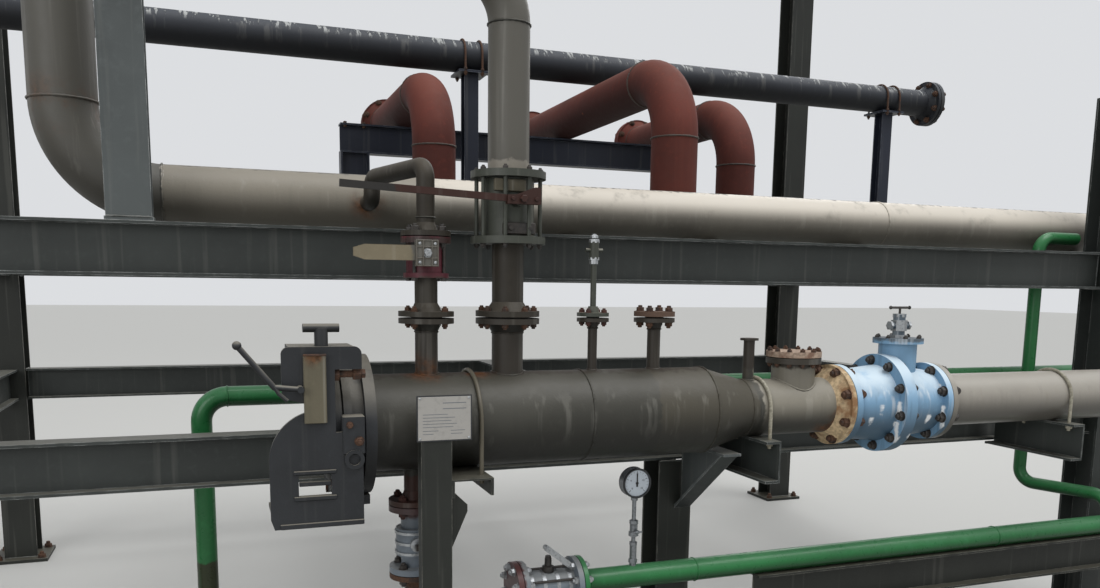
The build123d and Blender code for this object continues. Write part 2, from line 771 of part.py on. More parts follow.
# Upper pipe with the riser at its left end
upper_start = (riser_x, upper_pipe_y, riser_top)
upper_end = (pipe_end_x, upper_pipe_y, upper_pipe_z)
upper = bent_pipe([upper_start, (riser_x, upper_pipe_y, upper_pipe_z), upper_end], dn200)
upper += flange(upper_start, (0, 0, 1), dn200) + blind(upper_start, (0, 0, 1), dn200)
upper += flange(upper_end, (1, 0, 0), dn200) + blind(upper_end, (1, 0, 0), dn200)
save("upper_pipe", upper)

# High rear pipe on the tee posts
rear_left = (-pipe_end_x, tee_y, rear_pipe_z)
rear_right = (pipe_end_x, tee_y, rear_pipe_z)
high = rod(rear_left, rear_right, dn150.pipe)
for end, way in ((rear_left, -1), (rear_right, 1)):
    high += flange(end, (way, 0, 0), dn150) + blind(end, (way, 0, 0), dn150)
save("high_rear_pipe", high)

# Red loops: each comes forward over the portal and down to the cross beams
loop_back = 1230
for number, x, y in ((1, loop_one_x, loop_y), (2, loop_two_x, loop_two_y), (3, portal_right_x, loop_y)):
    back = (x, loop_back, loop_z)
    foot = (x, y, upper_top + raised + dn200.thick)
    loop = bent_pipe([back, (x, y, loop_z), foot], dn200)
    loop += flange(back, (0, 1, 0), dn200) + blind(back, (0, 1, 0), dn200)
    loop += flange(foot, (0, 0, -1), dn200) + blind(foot, (0, 0, -1), dn200)
    save(f"red_loop_{number}", loop)

# Green pipe behind the header, from a foot on the ground at the left
green_foot = (green_left_x, green_rear_y, 0)
green_end = (pipe_end_x, green_rear_y, green_rear_z)
green = bent_pipe([green_foot, (green_left_x, green_rear_y, green_rear_z), green_end], dn65)
green += rod(green_foot, (green_left_x, green_rear_y, dn65.thick), dn65.flange)
green += flange(green_end, (1, 0, 0), dn65) + blind(green_end, (1, 0, 0), dn65)
save("green_rear_pipe", green)
shoe_height = green_rear_z - dn65.pipe / 2 - lower_top
shoes = [plate(x, green_rear_y, lower_top, 60, 50, shoe_height) for x in (middle_post_x, right_x)]
save("pipe_shoes", *shoes)

# Green pipe on the low beam with its end valve and the tie-in from behind
low_start = (low_pipe_left, low_y, low_pipe_z)
low_end = (pipe_end_x, low_y, low_pipe_z)
low = rod(low_start, low_end, dn80.pipe)
low += flange(low_start, (-1, 0, 0), dn80)
low += flange(low_end, (1, 0, 0), dn80) + blind(low_end, (1, 0, 0), dn80)
save("green_low_pipe", low)
valve_right = low_pipe_left
low_valve_length = 230
valve_left = valve_right - low_valve_length
low_valve = rod((valve_left, low_y, low_pipe_z), (valve_left + dn80.thick, low_y, low_pipe_z), dn80.flange)
low_valve += rod((valve_right - dn80.thick, low_y, low_pipe_z), (valve_right, low_y, low_pipe_z), dn80.flange)
low_valve += rod((valve_left, low_y, low_pipe_z), (valve_right, low_y, low_pipe_z), 120)
low_valve += blind((valve_left, low_y, low_pipe_z), (-1, 0, 0), dn80)
save("green_low_valve", low_valve)

cap_x = right_x - half_column - 40
cap_z = upper_pipe_z - 40
link = bent_pipe(
    [
        (cap_x, green_riser_y, cap_z),
        (green_riser_x, green_riser_y, cap_z),
        (green_riser_x, green_riser_y, green_link_z),
        (link_front_x, low_y, green_link_z),
        (link_front_x, low_y, low_pipe_z),
    ],
    dn50,
)
low_solid = rod((link_front_x - 200, low_y, low_pipe_z), (link_front_x + 200, low_y, low_pipe_z), dn80.pipe)
save("green_riser", link - low_solid)

# Pressure gauge on a short stem over the low pipe
dial = 115
dial_thick = 38
gauge_low = low_pipe_z + dn80.pipe / 2 - 4
gauge = Pos(gauge_x, low_y, gauge_z) * (Rot(90, 0, 0) * Cylinder(dial / 2, dial_thick))
gauge += rod((gauge_x, low_y, gauge_low), (gauge_x, low_y, gauge_z - dial / 2 + 6), 16)
gauge += rod((gauge_x, low_y, gauge_low), (gauge_x, low_y, gauge_low + 90), 27)
gauge += rod((gauge_x, low_y, gauge_low + 120), (gauge_x, low_y, gauge_low + 165), 30)
low_cut = rod((gauge_x - 90, low_y, low_pipe_z), (gauge_x + 90, low_y, low_pipe_z), dn80.pipe)
save("pressure_gauge", gauge - low_cut)
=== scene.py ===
# %% [markdown]
# An industrial pipe bridge, one bay long. The steel and the pipes are already here as fixed CAD nodes.
# Blender adds what a quick stand-in lacks: paint that has weathered, welds, bolts, rust, a dial and a label.
# The first cell loads the frame.

import math

import bpy
from mathutils import Matrix, Vector


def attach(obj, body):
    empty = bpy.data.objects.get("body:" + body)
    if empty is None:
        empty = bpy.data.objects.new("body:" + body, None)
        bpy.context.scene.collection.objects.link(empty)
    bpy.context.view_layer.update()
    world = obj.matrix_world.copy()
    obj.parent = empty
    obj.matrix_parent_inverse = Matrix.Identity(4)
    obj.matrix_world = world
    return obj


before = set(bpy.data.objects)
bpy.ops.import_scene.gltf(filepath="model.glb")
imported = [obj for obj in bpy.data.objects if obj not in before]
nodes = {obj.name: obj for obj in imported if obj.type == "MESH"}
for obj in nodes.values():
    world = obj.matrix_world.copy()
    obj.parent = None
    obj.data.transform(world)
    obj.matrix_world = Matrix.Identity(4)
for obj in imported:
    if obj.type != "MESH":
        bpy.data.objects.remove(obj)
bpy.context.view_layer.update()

# %% [markdown]
# The drawing of this bay is in millimetres and Blender works in metres. One function turns a drawing point
# into a Vector. The same named values place the pipes here and in the drawing, so nothing is fitted by eye.

# %% Places on the drawing, in millimetres
MM = 0.001
ROW_SHIFT = 256.25
FRONT_Y, REAR_Y, LEFT_X, RIGHT_X, STUB_X, TEE_X = -1400, 1400, -2700, 2700, -1800, -160
PIPE_END = 3050
HEADER_Y, HEADER_Z, HEADER_LEFT, NECK_FACE = -1760, 1235, -1090, 1585
UPPER_TOP, LOWER_TOP = 1890, 1160
UPPER_PIPE_Y, UPPER_PIPE_Z, GREEN_Z, GREEN_RISER_X = -1130, 1999.55, 1262, -1610
LOW_Y, LOW_PIPE_Z = -1700, 584.45
BRANCH_A, BRANCH_B, TAPPING, NOZZLE_D, NOZZLE_E, DRAIN = -885, -600, -280, -35, 580, -935
X_WAY, Y_WAY, Z_WAY, FRONT = Vector((1, 0, 0)), Vector((0, 1, 0)), Vector((0, 0, 1)), Vector((0, -1, 0))
WAYS = (-1, 1)
CORNERS = [(way_x, way_y) for way_x in WAYS for way_y in WAYS]


def at(x, y, z):
    """A point of the drawing, in metres in the row frame."""
    return Vector((x, y + ROW_SHIFT, z)) * MM


def on_header(x, z):
    """A point above or below the middle of the header."""
    return at(x, HEADER_Y, z)


def into_scene(name, data):
    thing = bpy.data.objects.new(name, data)
    bpy.context.scene.collection.objects.link(thing)
    return thing


print("header axis at", tuple(on_header(0, HEADER_Z)))

# %% [markdown]
# The camera stands where the photographer stood, at eye height in front of the left half of the bay. Its
# turn, dip and focal length come from the three vanishing points of the posts, girders and cross beams. The
# middle of the picture lies above the lens axis, so the lens is also shifted.

# %% Camera
IMAGE_WIDTH, SENSOR_WIDTH = 1100, 36.0
FOCAL_PIXELS, RISE_PIXELS = 902.3, 118
TURN, DIP, ROLL = math.radians(20.39), math.radians(8.07), math.radians(-0.74)
EYE = at(-1550, -4750, 1700)
lens = bpy.data.cameras.new("eye_height_camera")
lens.sensor_width = SENSOR_WIDTH
lens.lens = FOCAL_PIXELS * SENSOR_WIDTH / IMAGE_WIDTH
lens.shift_y = RISE_PIXELS / IMAGE_WIDTH
lens.clip_end = 200
camera = into_scene("eye_height_camera", lens)
pose = Matrix.Translation(EYE)
for angle, axis in ((-TURN, "Z"), (math.pi / 2 - DIP, "X"), (-ROLL, "Z")):
    pose @= Matrix.Rotation(angle, 4, axis)
camera.matrix_world = pose
bpy.context.scene.camera = camera
print("lens", round(lens.lens, 2), "mm")

# %% [markdown]
# A real paint colour is noted as an sRGB hex value, the way a paint card shows it. Cycles counts in linear
# light, so one function turns the hex value into linear numbers. Another adds a shader node with its
# settings and links, and every material below is made with these two.

# %% Colour and node helpers
MIX_A, MIX_B, MIX_RESULT = 6, 7, 2


def tone(hex_value, factor=1.0):
    """An sRGB hex colour as linear RGBA, made darker or lighter by a factor."""
    parts = [int(hex_value[i : i + 2], 16) / 255 for i in (1, 3, 5)]
    linear = [c / 12.92 if c <= 0.04045 else ((c + 0.055) / 1.055) ** 2.4 for c in parts]
    return (*[min(c * factor, 1.0) for c in linear], 1.0)


def plug(owner, node, inputs):
    """Sets or links inputs of a node by name or number."""
    for key, value in inputs.items():
        socket = node.inputs[key]
        if isinstance(value, bpy.types.NodeSocket):
            owner.node_tree.links.new(value, socket)
        else:
            socket.default_value = value


def add(owner, kind, inputs=None, **settings):
    """Adds a shader node to a material or the world, with its properties and inputs."""
    node = owner.node_tree.nodes.new("ShaderNode" + kind)
    for key, value in settings.items():
        setattr(node, key, value)
    plug(owner, node, inputs or {})
    return node


def blank_material(name):
    """A new material, its shader, and the place on the object as a socket."""
    m = bpy.data.materials.new(name)
    m.use_nodes = True
    return m, m.node_tree.nodes["Principled BSDF"], add(m, "TexCoord").outputs["Object"]


def over(m, under, layer, share):
    """The layer's colour over the colour below it, where its share is 1."""
    return add(m, "Mix", {0: share, MIX_A: under, MIX_B: layer}, data_type="RGBA").outputs[MIX_RESULT]


def band(m, value, low, high, top=1.0):
    """0 below low, top above high, and a smooth rise between them."""
    inputs = {"Value": value, "From Min": low, "From Max": high, "To Max": top}
    return add(m, "MapRange", inputs, interpolation_type="SMOOTHSTEP").outputs["Result"]


def calc(m, operation, *values):
    return add(m, "Math", dict(enumerate(values)), operation=operation).outputs[0]


def times(m, first, second):
    return calc(m, "MULTIPLY", first, second)


def larger(m, first, second):
    return calc(m, "MAXIMUM", first, second)


def vector_value(m, operation, first, second):
    return add(m, "VectorMath", {0: first, 1: second}, operation=operation).outputs["Value"]


def stretched(m, place, scale):
    return add(m, "Mapping", {"Vector": place, "Scale": scale}).outputs[0]


def per_metre(size_mm):
    """The scale that gives a noise texture features of this size."""
    return 1 / (size_mm * MM)


def noise(m, where, size_mm, detail=4.0, roughness=0.55):
    inputs = {"Vector": where, "Scale": per_metre(size_mm), "Detail": detail, "Roughness": roughness}
    return add(m, "TexNoise", inputs).outputs["Fac"]


def bump(m, height, strength, depth_mm, below=None):
    """Relief of this depth, over any relief below it."""
    inputs = {"Strength": strength, "Distance": depth_mm * MM, "Height": height}
    if below is not None:
        inputs["Normal"] = below
    return add(m, "Bump", inputs).outputs[0]


# %% [markdown]
# Plant steel is blasted, primed and painted by brush or roller, and then stands outside for years. Four
# things show on it: patches where the paint was touched up or has faded, rain runs down the sides, dust on
# what faces up, and rust that lifts the film at edges, welds and clamps. Two layers are painted light: a
# painted shade that darkens what faces down, and a painted highlight mixed into the pale dust on what
# faces up. They are the same layers on every pipe and beam, so one function builds them over any colour.

# %% Weathered paint on steel
# The third value is the patch size of the dust and painted highlight on tops.
PATCH_MM, MOTTLE_MM, DUST_HIGHLIGHT_MM, RUN_WIDTH_MM, RUN_LENGTH_MM = 600, 28, 90, 34, 900
RUST_PATCH_MM, RUST_GRAIN_MM, BRUSH_MM, PIT_MM, CHIP_MM, FLAKE_MM = 260, 18, 7, 5, 60, 120
# The second value is the default share of the painted shade on what faces down.
SPECULAR_PAINT, SHADE_BELOW_SHARE, GLOSS_MOTTLE = 0.32, 0.9, 0.22
ZONE_WAVE, ZONE_EDGE, ZONE_COVER = 40, 12, 0.92
STREAK_WIDE, STREAK_CORE, STREAK_SWAY, STREAK_FADE, STREAK_FOOT = 30, 20, 30, 8, 0.6
STREAK_HEX = "#f0f2f3"
RIB_SQUEEZE = 4.0
EDGE_RADIUS, EDGE_SAMPLES = 0.004, 4
# The third value is the tone of that painted shade, as a share of the paint colour.
FADE_LIGHT, GRIME_DARK, SHADE_BELOW_TONE, RUST_DARK = 2.2, 0.45, 0.22, 0.45
# Each layer starts at the first value of its noise or of the slope, and is full at the second
PATCHES, MOTTLES, CHIPS, RUNS, GRIMES = (0.38, 0.62), (0.5, 0.75), (0.35, 0.6), (0.56, 0.7), (0.44, 0.3)
# On the next line the first pair sets the patches of dust and painted highlight, the third the slope of the
# painted shade.
DUST_HIGHLIGHT_PATCHES, SIDES, SHADE_BELOW_SLOPE, RIB_TOPS, EDGES = (0.12, 0.45), (0.75, 0.35), (0.35, -0.6), (0.3, 0.7), (0.97, 0.8)
# The last value is how far the dust and painted highlight reach round from the tops.
RUST_GRAINS, RUST_BREAKS, DUST_HIGHLIGHT_RISE = (0.4, 0.65), (0.62, 0.42), 0.7


def paint(
    name, hex_paint, rough=0.5, fade=0.12, runs=0.1, dust_and_highlight=0.3, rust=0.12, edge=0.0, run_hex="#d8d5cb",
    dust_highlight_hex="#a39c8c", rust_hex="#6a4327", edge_hex="#d5d7d8", spots=(), flakes=None, zones=(),
    dust_highlight_from=0.1, under=SHADE_BELOW_SHARE, streaks=(),
):
    """Brushed or sprayed paint on steel with fade, rain runs, dust, rust and worn edges, painted shade on
    what faces down (its share is under) and a painted highlight mixed into the dust on what faces up.
    """
    m, shader, place = blank_material(name)
    facing = add(m, "SeparateXYZ", {0: add(m, "NewGeometry").outputs["Normal"]}).outputs["Z"]
    drawing = add(m, "SeparateXYZ", {0: place}).outputs
    sideways = band(m, calc(m, "ABSOLUTE", facing), *SIDES)
    mottle = noise(m, place, MOTTLE_MM, 6.0)
    faded = band(m, noise(m, place, PATCH_MM), *PATCHES)
    colour = over(m, tone(hex_paint, 1 - fade), tone(hex_paint, 1 + fade), faded)
    colour = over(m, colour, tone(hex_paint, 1 + FADE_LIGHT * fade), band(m, mottle, *MOTTLES, 0.5))
    # Inside a zone there is neither dust nor painted highlight.
    free_of_dust_highlight = 0.0
    for axis, low, high, zone_hex in zones:
        wavy = calc(m, "MULTIPLY_ADD", mottle, ZONE_WAVE * MM, drawing[axis])
        start = band(m, wavy, low * MM, (low + ZONE_EDGE) * MM)
        inside = times(m, start, band(m, wavy, (high + ZONE_EDGE) * MM, high * MM))
        colour = over(m, colour, tone(zone_hex), times(m, inside, ZONE_COVER))
        free_of_dust_highlight = larger(m, free_of_dust_highlight, inside)
    down = stretched(m, place, (per_metre(RUN_WIDTH_MM), per_metre(RUN_WIDTH_MM), per_metre(RUN_LENGTH_MM)))
    run_noise = noise(m, down, 1 / MM, 3.0, 0.5)
    colour = over(m, colour, tone(run_hex), times(m, band(m, run_noise, *RUNS, runs), sideways))
    grime = times(m, band(m, run_noise, *GRIMES, 0.8 * runs), sideways)
    colour = over(m, colour, tone(hex_paint, GRIME_DARK), grime)
    # Painted shade: what faces down is darkened towards a dark tone of the paint.
    colour = over(m, colour, tone(hex_paint, SHADE_BELOW_TONE), band(m, facing, *SHADE_BELOW_SLOPE, under))
    # Dust and painted highlight: what faces up takes the pale dust colour, which also stands in for light
    # falling on the tops.
    upward = band(m, facing, dust_highlight_from, dust_highlight_from + DUST_HIGHLIGHT_RISE)
    dust_highlight_share = times(m, upward, band(m, noise(m, place, DUST_HIGHLIGHT_MM, 5.0), *DUST_HIGHLIGHT_PATCHES, dust_and_highlight))
    colour = over(m, colour, tone(dust_highlight_hex), times(m, dust_highlight_share, band(m, free_of_dust_highlight, 1.0, 0.0)))
    for x, y, z, length in streaks:
        away = vector_value(m, "DISTANCE", stretched(m, place, (1, 1, 0)), at(x, y, 0))
        swaying = calc(m, "ADD", away, times(m, mottle, STREAK_SWAY * MM))
        slim = band(m, swaying, STREAK_WIDE * MM, STREAK_CORE * MM)
        foot = band(m, drawing["Z"], (z - length) * MM, (z - STREAK_FOOT * length) * MM)
        ends = times(m, foot, band(m, drawing["Z"], z * MM, (z - STREAK_FADE) * MM))
        colour = over(m, colour, tone(STREAK_HEX), times(m, slim, ends))
    if edge:
        soft = add(m, "Bevel", {"Radius": EDGE_RADIUS}, samples=EDGE_SAMPLES).outputs[0]
        bend = vector_value(m, "DOT_PRODUCT", soft, add(m, "NewGeometry").outputs["True Normal"])
        worn = times(m, band(m, bend, *EDGES, edge), band(m, noise(m, place, CHIP_MM), *CHIPS))
        colour = over(m, colour, tone(edge_hex), worn)
    rust_noise = noise(m, place, RUST_PATCH_MM, 10.0, 0.68)
    rust_share = band(m, rust_noise, 0.74 - 0.3 * rust, 0.79 - 0.3 * rust)
    for x, y, z, reach in spots:
        near = band(m, vector_value(m, "DISTANCE", place, at(x, y, z)), reach * MM, 0.25 * reach * MM)
        rust_share = larger(m, rust_share, times(m, near, band(m, rust_noise, *RUST_BREAKS)))
    if flakes:
        flake_hex, flake_share = flakes
        rib_noise = noise(m, stretched(m, place, (RIB_SQUEEZE, 1, 1)), FLAKE_MM, 9.0, 0.7)
        ribs = band(m, rib_noise, 0.56 - 0.2 * flake_share, 0.6 - 0.2 * flake_share)
        torn = times(m, band(m, facing, *RIB_TOPS), ribs)
        colour = over(m, colour, tone(flake_hex), torn)
    grains = band(m, noise(m, place, RUST_GRAIN_MM, 6.0), *RUST_GRAINS)
    colour = over(m, colour, over(m, tone(rust_hex), tone(rust_hex, RUST_DARK), grains), rust_share)
    worn_gloss = calc(m, "ADD", band(m, rust_share, 0.0, 1.0, 0.9 - rough), rough)
    uneven = calc(m, "MULTIPLY_ADD", mottle, GLOSS_MOTTLE, worn_gloss)
    brushed, pitted = noise(m, place, BRUSH_MM, 2.0), noise(m, place, PIT_MM, 5.0)
    relief = bump(m, over(m, brushed, pitted, rust_share), 0.35, 1.2)
    if flakes:
        relief = bump(m, torn, 0.8, 3, relief)
    plug(m, shader, {
        "Base Color": colour, "Roughness": calc(m, "SUBTRACT", uneven, GLOSS_MOTTLE / 2),
        "Normal": bump(m, rust_share, 0.7, 1.5, relief), "Specular IOR Level": SPECULAR_PAINT,
    })
    return m


# %% [markdown]
# The frame is painted a dull olive grey by brush, with paler wear on the flange edges and dust on the beams,
# the dust partly a painted highlight. A lighter copy of this paint is painted light on the stub column and
# knee bracket, and a darker copy is painted shade on the posts, arm and low beams under the header.
# The portal is older and darker. Rolled steel shows no grain under such paint, only patches and brush lines.

# %% Frame paints
frame_paint, lit_frame_paint, shaded_frame_paint = (
    paint(
        name, hex_paint, rough, 0.15, runs, 0.6, rust, edge=0.8, dust_highlight_hex=dust_highlight_hex, edge_hex=edge_hex,
    )
    for name, hex_paint, rough, runs, rust, dust_highlight_hex, edge_hex in (
        ("grey_alkyd_brushed_on_rolled_steel", "#3f4341", 0.5, 0.06, 0.05, "#6f6d64", "#aeb1af"),
        # A lighter copy of the frame paint, as painted light on the stub column.
        ("grey_alkyd_with_painted_light_on_rolled_steel", "#585d5d", 0.5, 0.06, 0.05, "#8f8d84", "#c4c6c4"),
        # A darker copy of the frame paint, as painted shade on the posts and beams under the header.
        ("grey_alkyd_with_painted_shade_on_rolled_steel", "#2d2f2b", 0.55, 0.05, 0.08, "#5b584d", "#9a988e"),
    )
)
portal_paint = paint(
    "dark_blue_alkyd_brushed_on_rolled_steel", "#2a2f3c", rough=0.45, runs=0.06, rust=0.02, edge=0.6,
    dust_highlight_hex="#5a5f68", edge_hex="#98a0aa",
)

# %% [markdown]
# The header was sprayed in the shop and is a warmer grey. Its top is dusty, and rust has come through at the
# first branch and under the U-bolt, which is where water stands. Its necks were primed brown and never
# finished. Zones are where a pipe has another colour between two places, and spots are where rust has come
# through. Some zones are painted light: a lighter stretch of the header is a painted patch of sunlight, and
# the darker left end and riser of the upper pipe are painted shade.

# %% Pipe paints
header_paint = paint(
    "grey_alkyd_sprayed_on_steel_pipe", "#3f3e38", dust_and_highlight=0.5, dust_highlight_hex="#4b483f",
    zones=(
        # The first zone, lighter from x 400 to 900, is a painted patch of sunlight.
        ("X", 400, 900, "#8d887c"), ("X", -60, 380, "#4d493f"), ("Z", 1404, 1800, "#39332c"),
        ("Z", 900, 1066, "#4a3029"),
    ),
    spots=((BRANCH_A, HEADER_Y, 1400, 110), (-710, HEADER_Y, 1400, 90), (720, -1850, 1180, 110)),
)
neck_paint = paint(
    "brown_grey_primer_sprayed_on_steel_pipe", "#37322a", rough=0.55, fade=0.14, runs=0.06, dust_and_highlight=0.4,
    rust=0.14, dust_highlight_hex="#655e52",
)
upper_paint = paint(
    # The pale dust reaching down the sides is mostly a painted highlight of the lit top, and under gives a
    # lighter painted shade.
    "sand_grey_alkyd_sprayed_on_steel_pipe", "#868177", dust_and_highlight=0.85, dust_highlight_hex="#ddd5c8", dust_highlight_from=-0.15,
    under=0.62, spots=((-2012, UPPER_PIPE_Y, 2280, 170), (-989, -1240, 1995, 90)),
    # The first zone keeps the middle stretch plain, without dust or painted highlight. The second and third
    # zones are painted shade, on the left end and on the riser.
    zones=(("X", -1690, -760, "#8a8478"), ("X", -3100, -1690, "#55544f"), ("Z", 2120, 3300, "#5c5a54")),
)
pale_paint = paint(
    "ivory_enamel_sprayed_on_steel_pipe", "#98938a", rough=0.35, fade=0.06, runs=0.15, rust=0.04,
    run_hex="#8a7f6f", dust_highlight_hex="#bdb9b0",
)
flaking_paint = paint(
    "blue_grey_enamel_flaking_from_steel_pipe", "#2b2e34", rough=0.6, runs=0.08, dust_and_highlight=0.5, rust=0.06,
    flakes=("#a9abaa", 0.12), dust_highlight_hex="#4a4e55",
)
primer_red = paint(
    "red_oxide_primer_brushed_on_steel_pipe", "#5f2f27", rough=0.78, fade=0.2, rust=0.06,
    run_hex="#84493a", dust_highlight_hex="#7d4a3b", rust_hex="#a8552b",
)
green_paint, footed_green_paint = (
    paint(
        name, "#2a7440", rough=0.3, fade=0.14, runs=0.08, dust_and_highlight=0.35, rust=0.05, run_hex="#5fa57c",
        dust_highlight_hex="#6d9a78", zones=zones, spots=((GREEN_RISER_X, UPPER_PIPE_Y, 60, 420),),
    )
    for name, zones in (
        ("emerald_enamel_brushed_on_steel_pipe", ()),
        ("emerald_enamel_over_brown_primer_on_steel_pipe", (("Z", -50, 640, "#33251a"),)),
    )
)

# %% [markdown]
# Valve bodies are castings. The sand mould leaves a skin with a fine grain, and the paint on it chips sooner
# than on pipe. The check valve is light blue enamel with white salt streaks under its bolts.

# %% Casting paints
BLUE_STREAKS = (
    (976, -158, 1262, 90), (976, -148, 1180, 120), (976, -96, 1350, 70), (1030, -160, 1230, 150),
    (900, -156, 1250, 110), (860, -140, 1200, 130), (1222, -132, 1235, 120), (1222, -100, 1320, 90),
    (1150, -130, 1200, 120),
)
blue_casting = paint(
    # The pale dust on the top is partly a painted highlight, and under gives a strong painted shade to the
    # lower body.
    "sky_blue_enamel_on_cast_iron", "#8ab3d4", rough=0.45, fade=0.1, runs=0.6, dust_and_highlight=0.75, under=0.97,
    rust=0.04, run_hex="#e6edf2", dust_highlight_hex="#dbe8ee", zones=(("Z", 1502, 1700, "#5b5d5e"),),
    streaks=[(x, HEADER_Y + y, z, length) for x, y, z, length in BLUE_STREAKS],
)
maroon_casting = paint(
    "maroon_enamel_on_cast_steel", "#5e2a33", rough=0.4, fade=0.2, runs=0.12, dust_and_highlight=0.25, rust=0.3,
    run_hex="#b9aaa2", zones=(("Z", 1828, 1860, "#3c322d"), ("Z", 1700, 1731, "#4a3a34")),
)
grey_green_casting = paint(
    "grey_green_enamel_on_cast_steel", "#4f524a", rough=0.45, fade=0.16, dust_and_highlight=0.4, rust=0.2,
)
silver_casting = paint(
    "aluminium_paint_on_cast_iron", "#79828b", rough=0.38, fade=0.16, runs=0.12, run_hex="#5b5f63",
    zones=(("Z", 922, 1000, "#4c2a22"), ("X", -600, -516, "#5a322e")),
)
cream_bar = paint(
    "cream_enamel_worn_on_steel_bar", "#8a806a", rough=0.42, fade=0.16, dust_and_highlight=0.2, rust=0.2, edge=0.6,
    edge_hex="#5c4a38", zones=(("X", -941, -840, "#6d6c68"),),
)
long_bar = paint(
    "black_enamel_worn_to_rust_on_steel_bar", "#2f2d2b", runs=0.05, rust=0.3, rust_hex="#6b3322",
    zones=(("X", -1000, -500, "#40231b"),),
)
beige_strap = paint(
    "sand_enamel_on_flat_steel", "#6a6453", rough=0.45, fade=0.2, runs=0.3, dust_and_highlight=0.2,
    spots=((-1280, -2035, 1478, 40),),
)
dark_closure = paint(
    "dark_grey_enamel_on_cast_steel", "#2f3134", fade=0.2, runs=0.03, dust_and_highlight=0.4, rust=0.16,
)

# %% [markdown]
# Bare flanges, studs and nuts have rusted all over. Rust on hot-rolled steel is never one brown: a dry ochre
# bloom lies over a dark scale, and it is quite matt. Newer bolts keep their zinc, which is dull and grey.

# %% Rusted steel, plated steel and prints
BLOTCH_GRAINS, DARK_EDGE = 5, 20


def rusted_steel(name, hex_bloom, hex_scale, rough=0.85, grain_mm=14, dark_before=None):
    """Hot-rolled steel rusted in the open: a dusty bloom over dark scale, and dark all over before some x."""
    m, shader, place = blank_material(name)
    blotch = noise(m, place, BLOTCH_GRAINS * grain_mm, 8.0, 0.5)
    grain = noise(m, place, grain_mm, 8.0, 0.5)
    bloom = over(m, tone(hex_bloom), tone(hex_bloom, 0.6), band(m, grain, 0.35, 0.68))
    colour = over(m, bloom, tone(hex_scale), band(m, blotch, 0.5, 0.66))
    if dark_before is not None:
        along = add(m, "SeparateXYZ", {0: place}).outputs["X"]
        kept = band(m, along, dark_before * MM, (dark_before + DARK_EDGE) * MM)
        colour = over(m, tone(hex_scale, 0.5), colour, kept)
    roughness = calc(m, "ADD", band(m, blotch, 0.3, 0.8, -0.2), rough)
    plug(m, shader, {"Base Color": colour, "Roughness": roughness, "Normal": bump(m, grain, 0.6, 1)})
    return m


def bare_metal(name, hex_metal, rough, grain_mm, metallic=1.0):
    """Plated or machined metal with handling marks in its roughness."""
    m, shader, place = blank_material(name)
    marks = noise(m, place, grain_mm, 6.0, 0.5)
    colour = over(m, tone(hex_metal), tone(hex_metal, 0.6), band(m, marks, 0.45, 0.75))
    roughness = calc(m, "MULTIPLY_ADD", marks, 0.35, rough - 0.17)
    relief = bump(m, marks, 0.25, 0.5)
    plug(m, shader, {"Metallic": metallic, "Base Color": colour, "Roughness": roughness, "Normal": relief})
    return m


def plain_finish(name, hex_value, rough, coat=0.0, grain_mm=3):
    """A printed, moulded or enamelled surface with only a faint grain in its gloss."""
    m, shader, place = blank_material(name)
    grain = noise(m, place, grain_mm, 4.0, 0.5)
    colour = over(m, tone(hex_value), tone(hex_value, 0.82), band(m, grain, 0.5, 0.8))
    roughness = calc(m, "MULTIPLY_ADD", grain, 0.2, rough - 0.1)
    plug(m, shader, {"Coat Weight": coat, "Base Color": colour, "Roughness": roughness})
    return m


ochre_steel = rusted_steel("rusted_hot_rolled_flange_steel", "#cbb28d", "#8a6745")
brown_steel = rusted_steel("rusted_forged_bolt_steel", "#553a29", "#2c1e17", grain_mm=6)
cover_steel = rusted_steel("rusted_hot_rolled_cover_plate", "#b39c89", "#7d6150", 0.85, 10, dark_before=200)
dark_steel = rusted_steel("oiled_forged_bolt_steel", "#3a3531", "#211f1d", rough=0.6, grain_mm=6)
scale_steel = rusted_steel("mill_scale_on_weld_metal", "#4a4038", "#2c2723", rough=0.7, grain_mm=6)
rust_red_steel = rusted_steel("red_rusted_forged_steel", "#4f2e26", "#2c1a16", grain_mm=6)
clamp_steel = rusted_steel("grey_galvanised_u_bolt_gone_dull", "#a5a08f", "#7c7563", 0.6, 10, dark_before=0)
zinc_steel = bare_metal("zinc_plated_steel_bolt", "#a9acae", 0.45, 10, metallic=0.8)
dulled_steel = bare_metal("machined_stainless_steel_gone_dull", "#85888b", 0.45, 8)
bezel_black = plain_finish("black_enamel_on_rolled_steel_bezel", "#232528", 0.35, coat=0.3)
dial_white = plain_finish("white_enamel_dial_behind_glass", "#c4cdd6", 0.4, coat=0.6)
dial_black = plain_finish("black_screen_print", "#1b1b1c", 0.5)
sheet_white = plain_finish("white_printed_label_sheet", "#a3a09b", 0.45, coat=0.2, grain_mm=20)
sheet_edge = plain_finish("dark_anodised_sheet_edge", "#2b2d30", 0.4)
sheet_ink = plain_finish("grey_screen_print", "#6d7176", 0.5)

# %% [markdown]
# Every CAD node now gets its finish. What the table leaves out is painted like the frame.

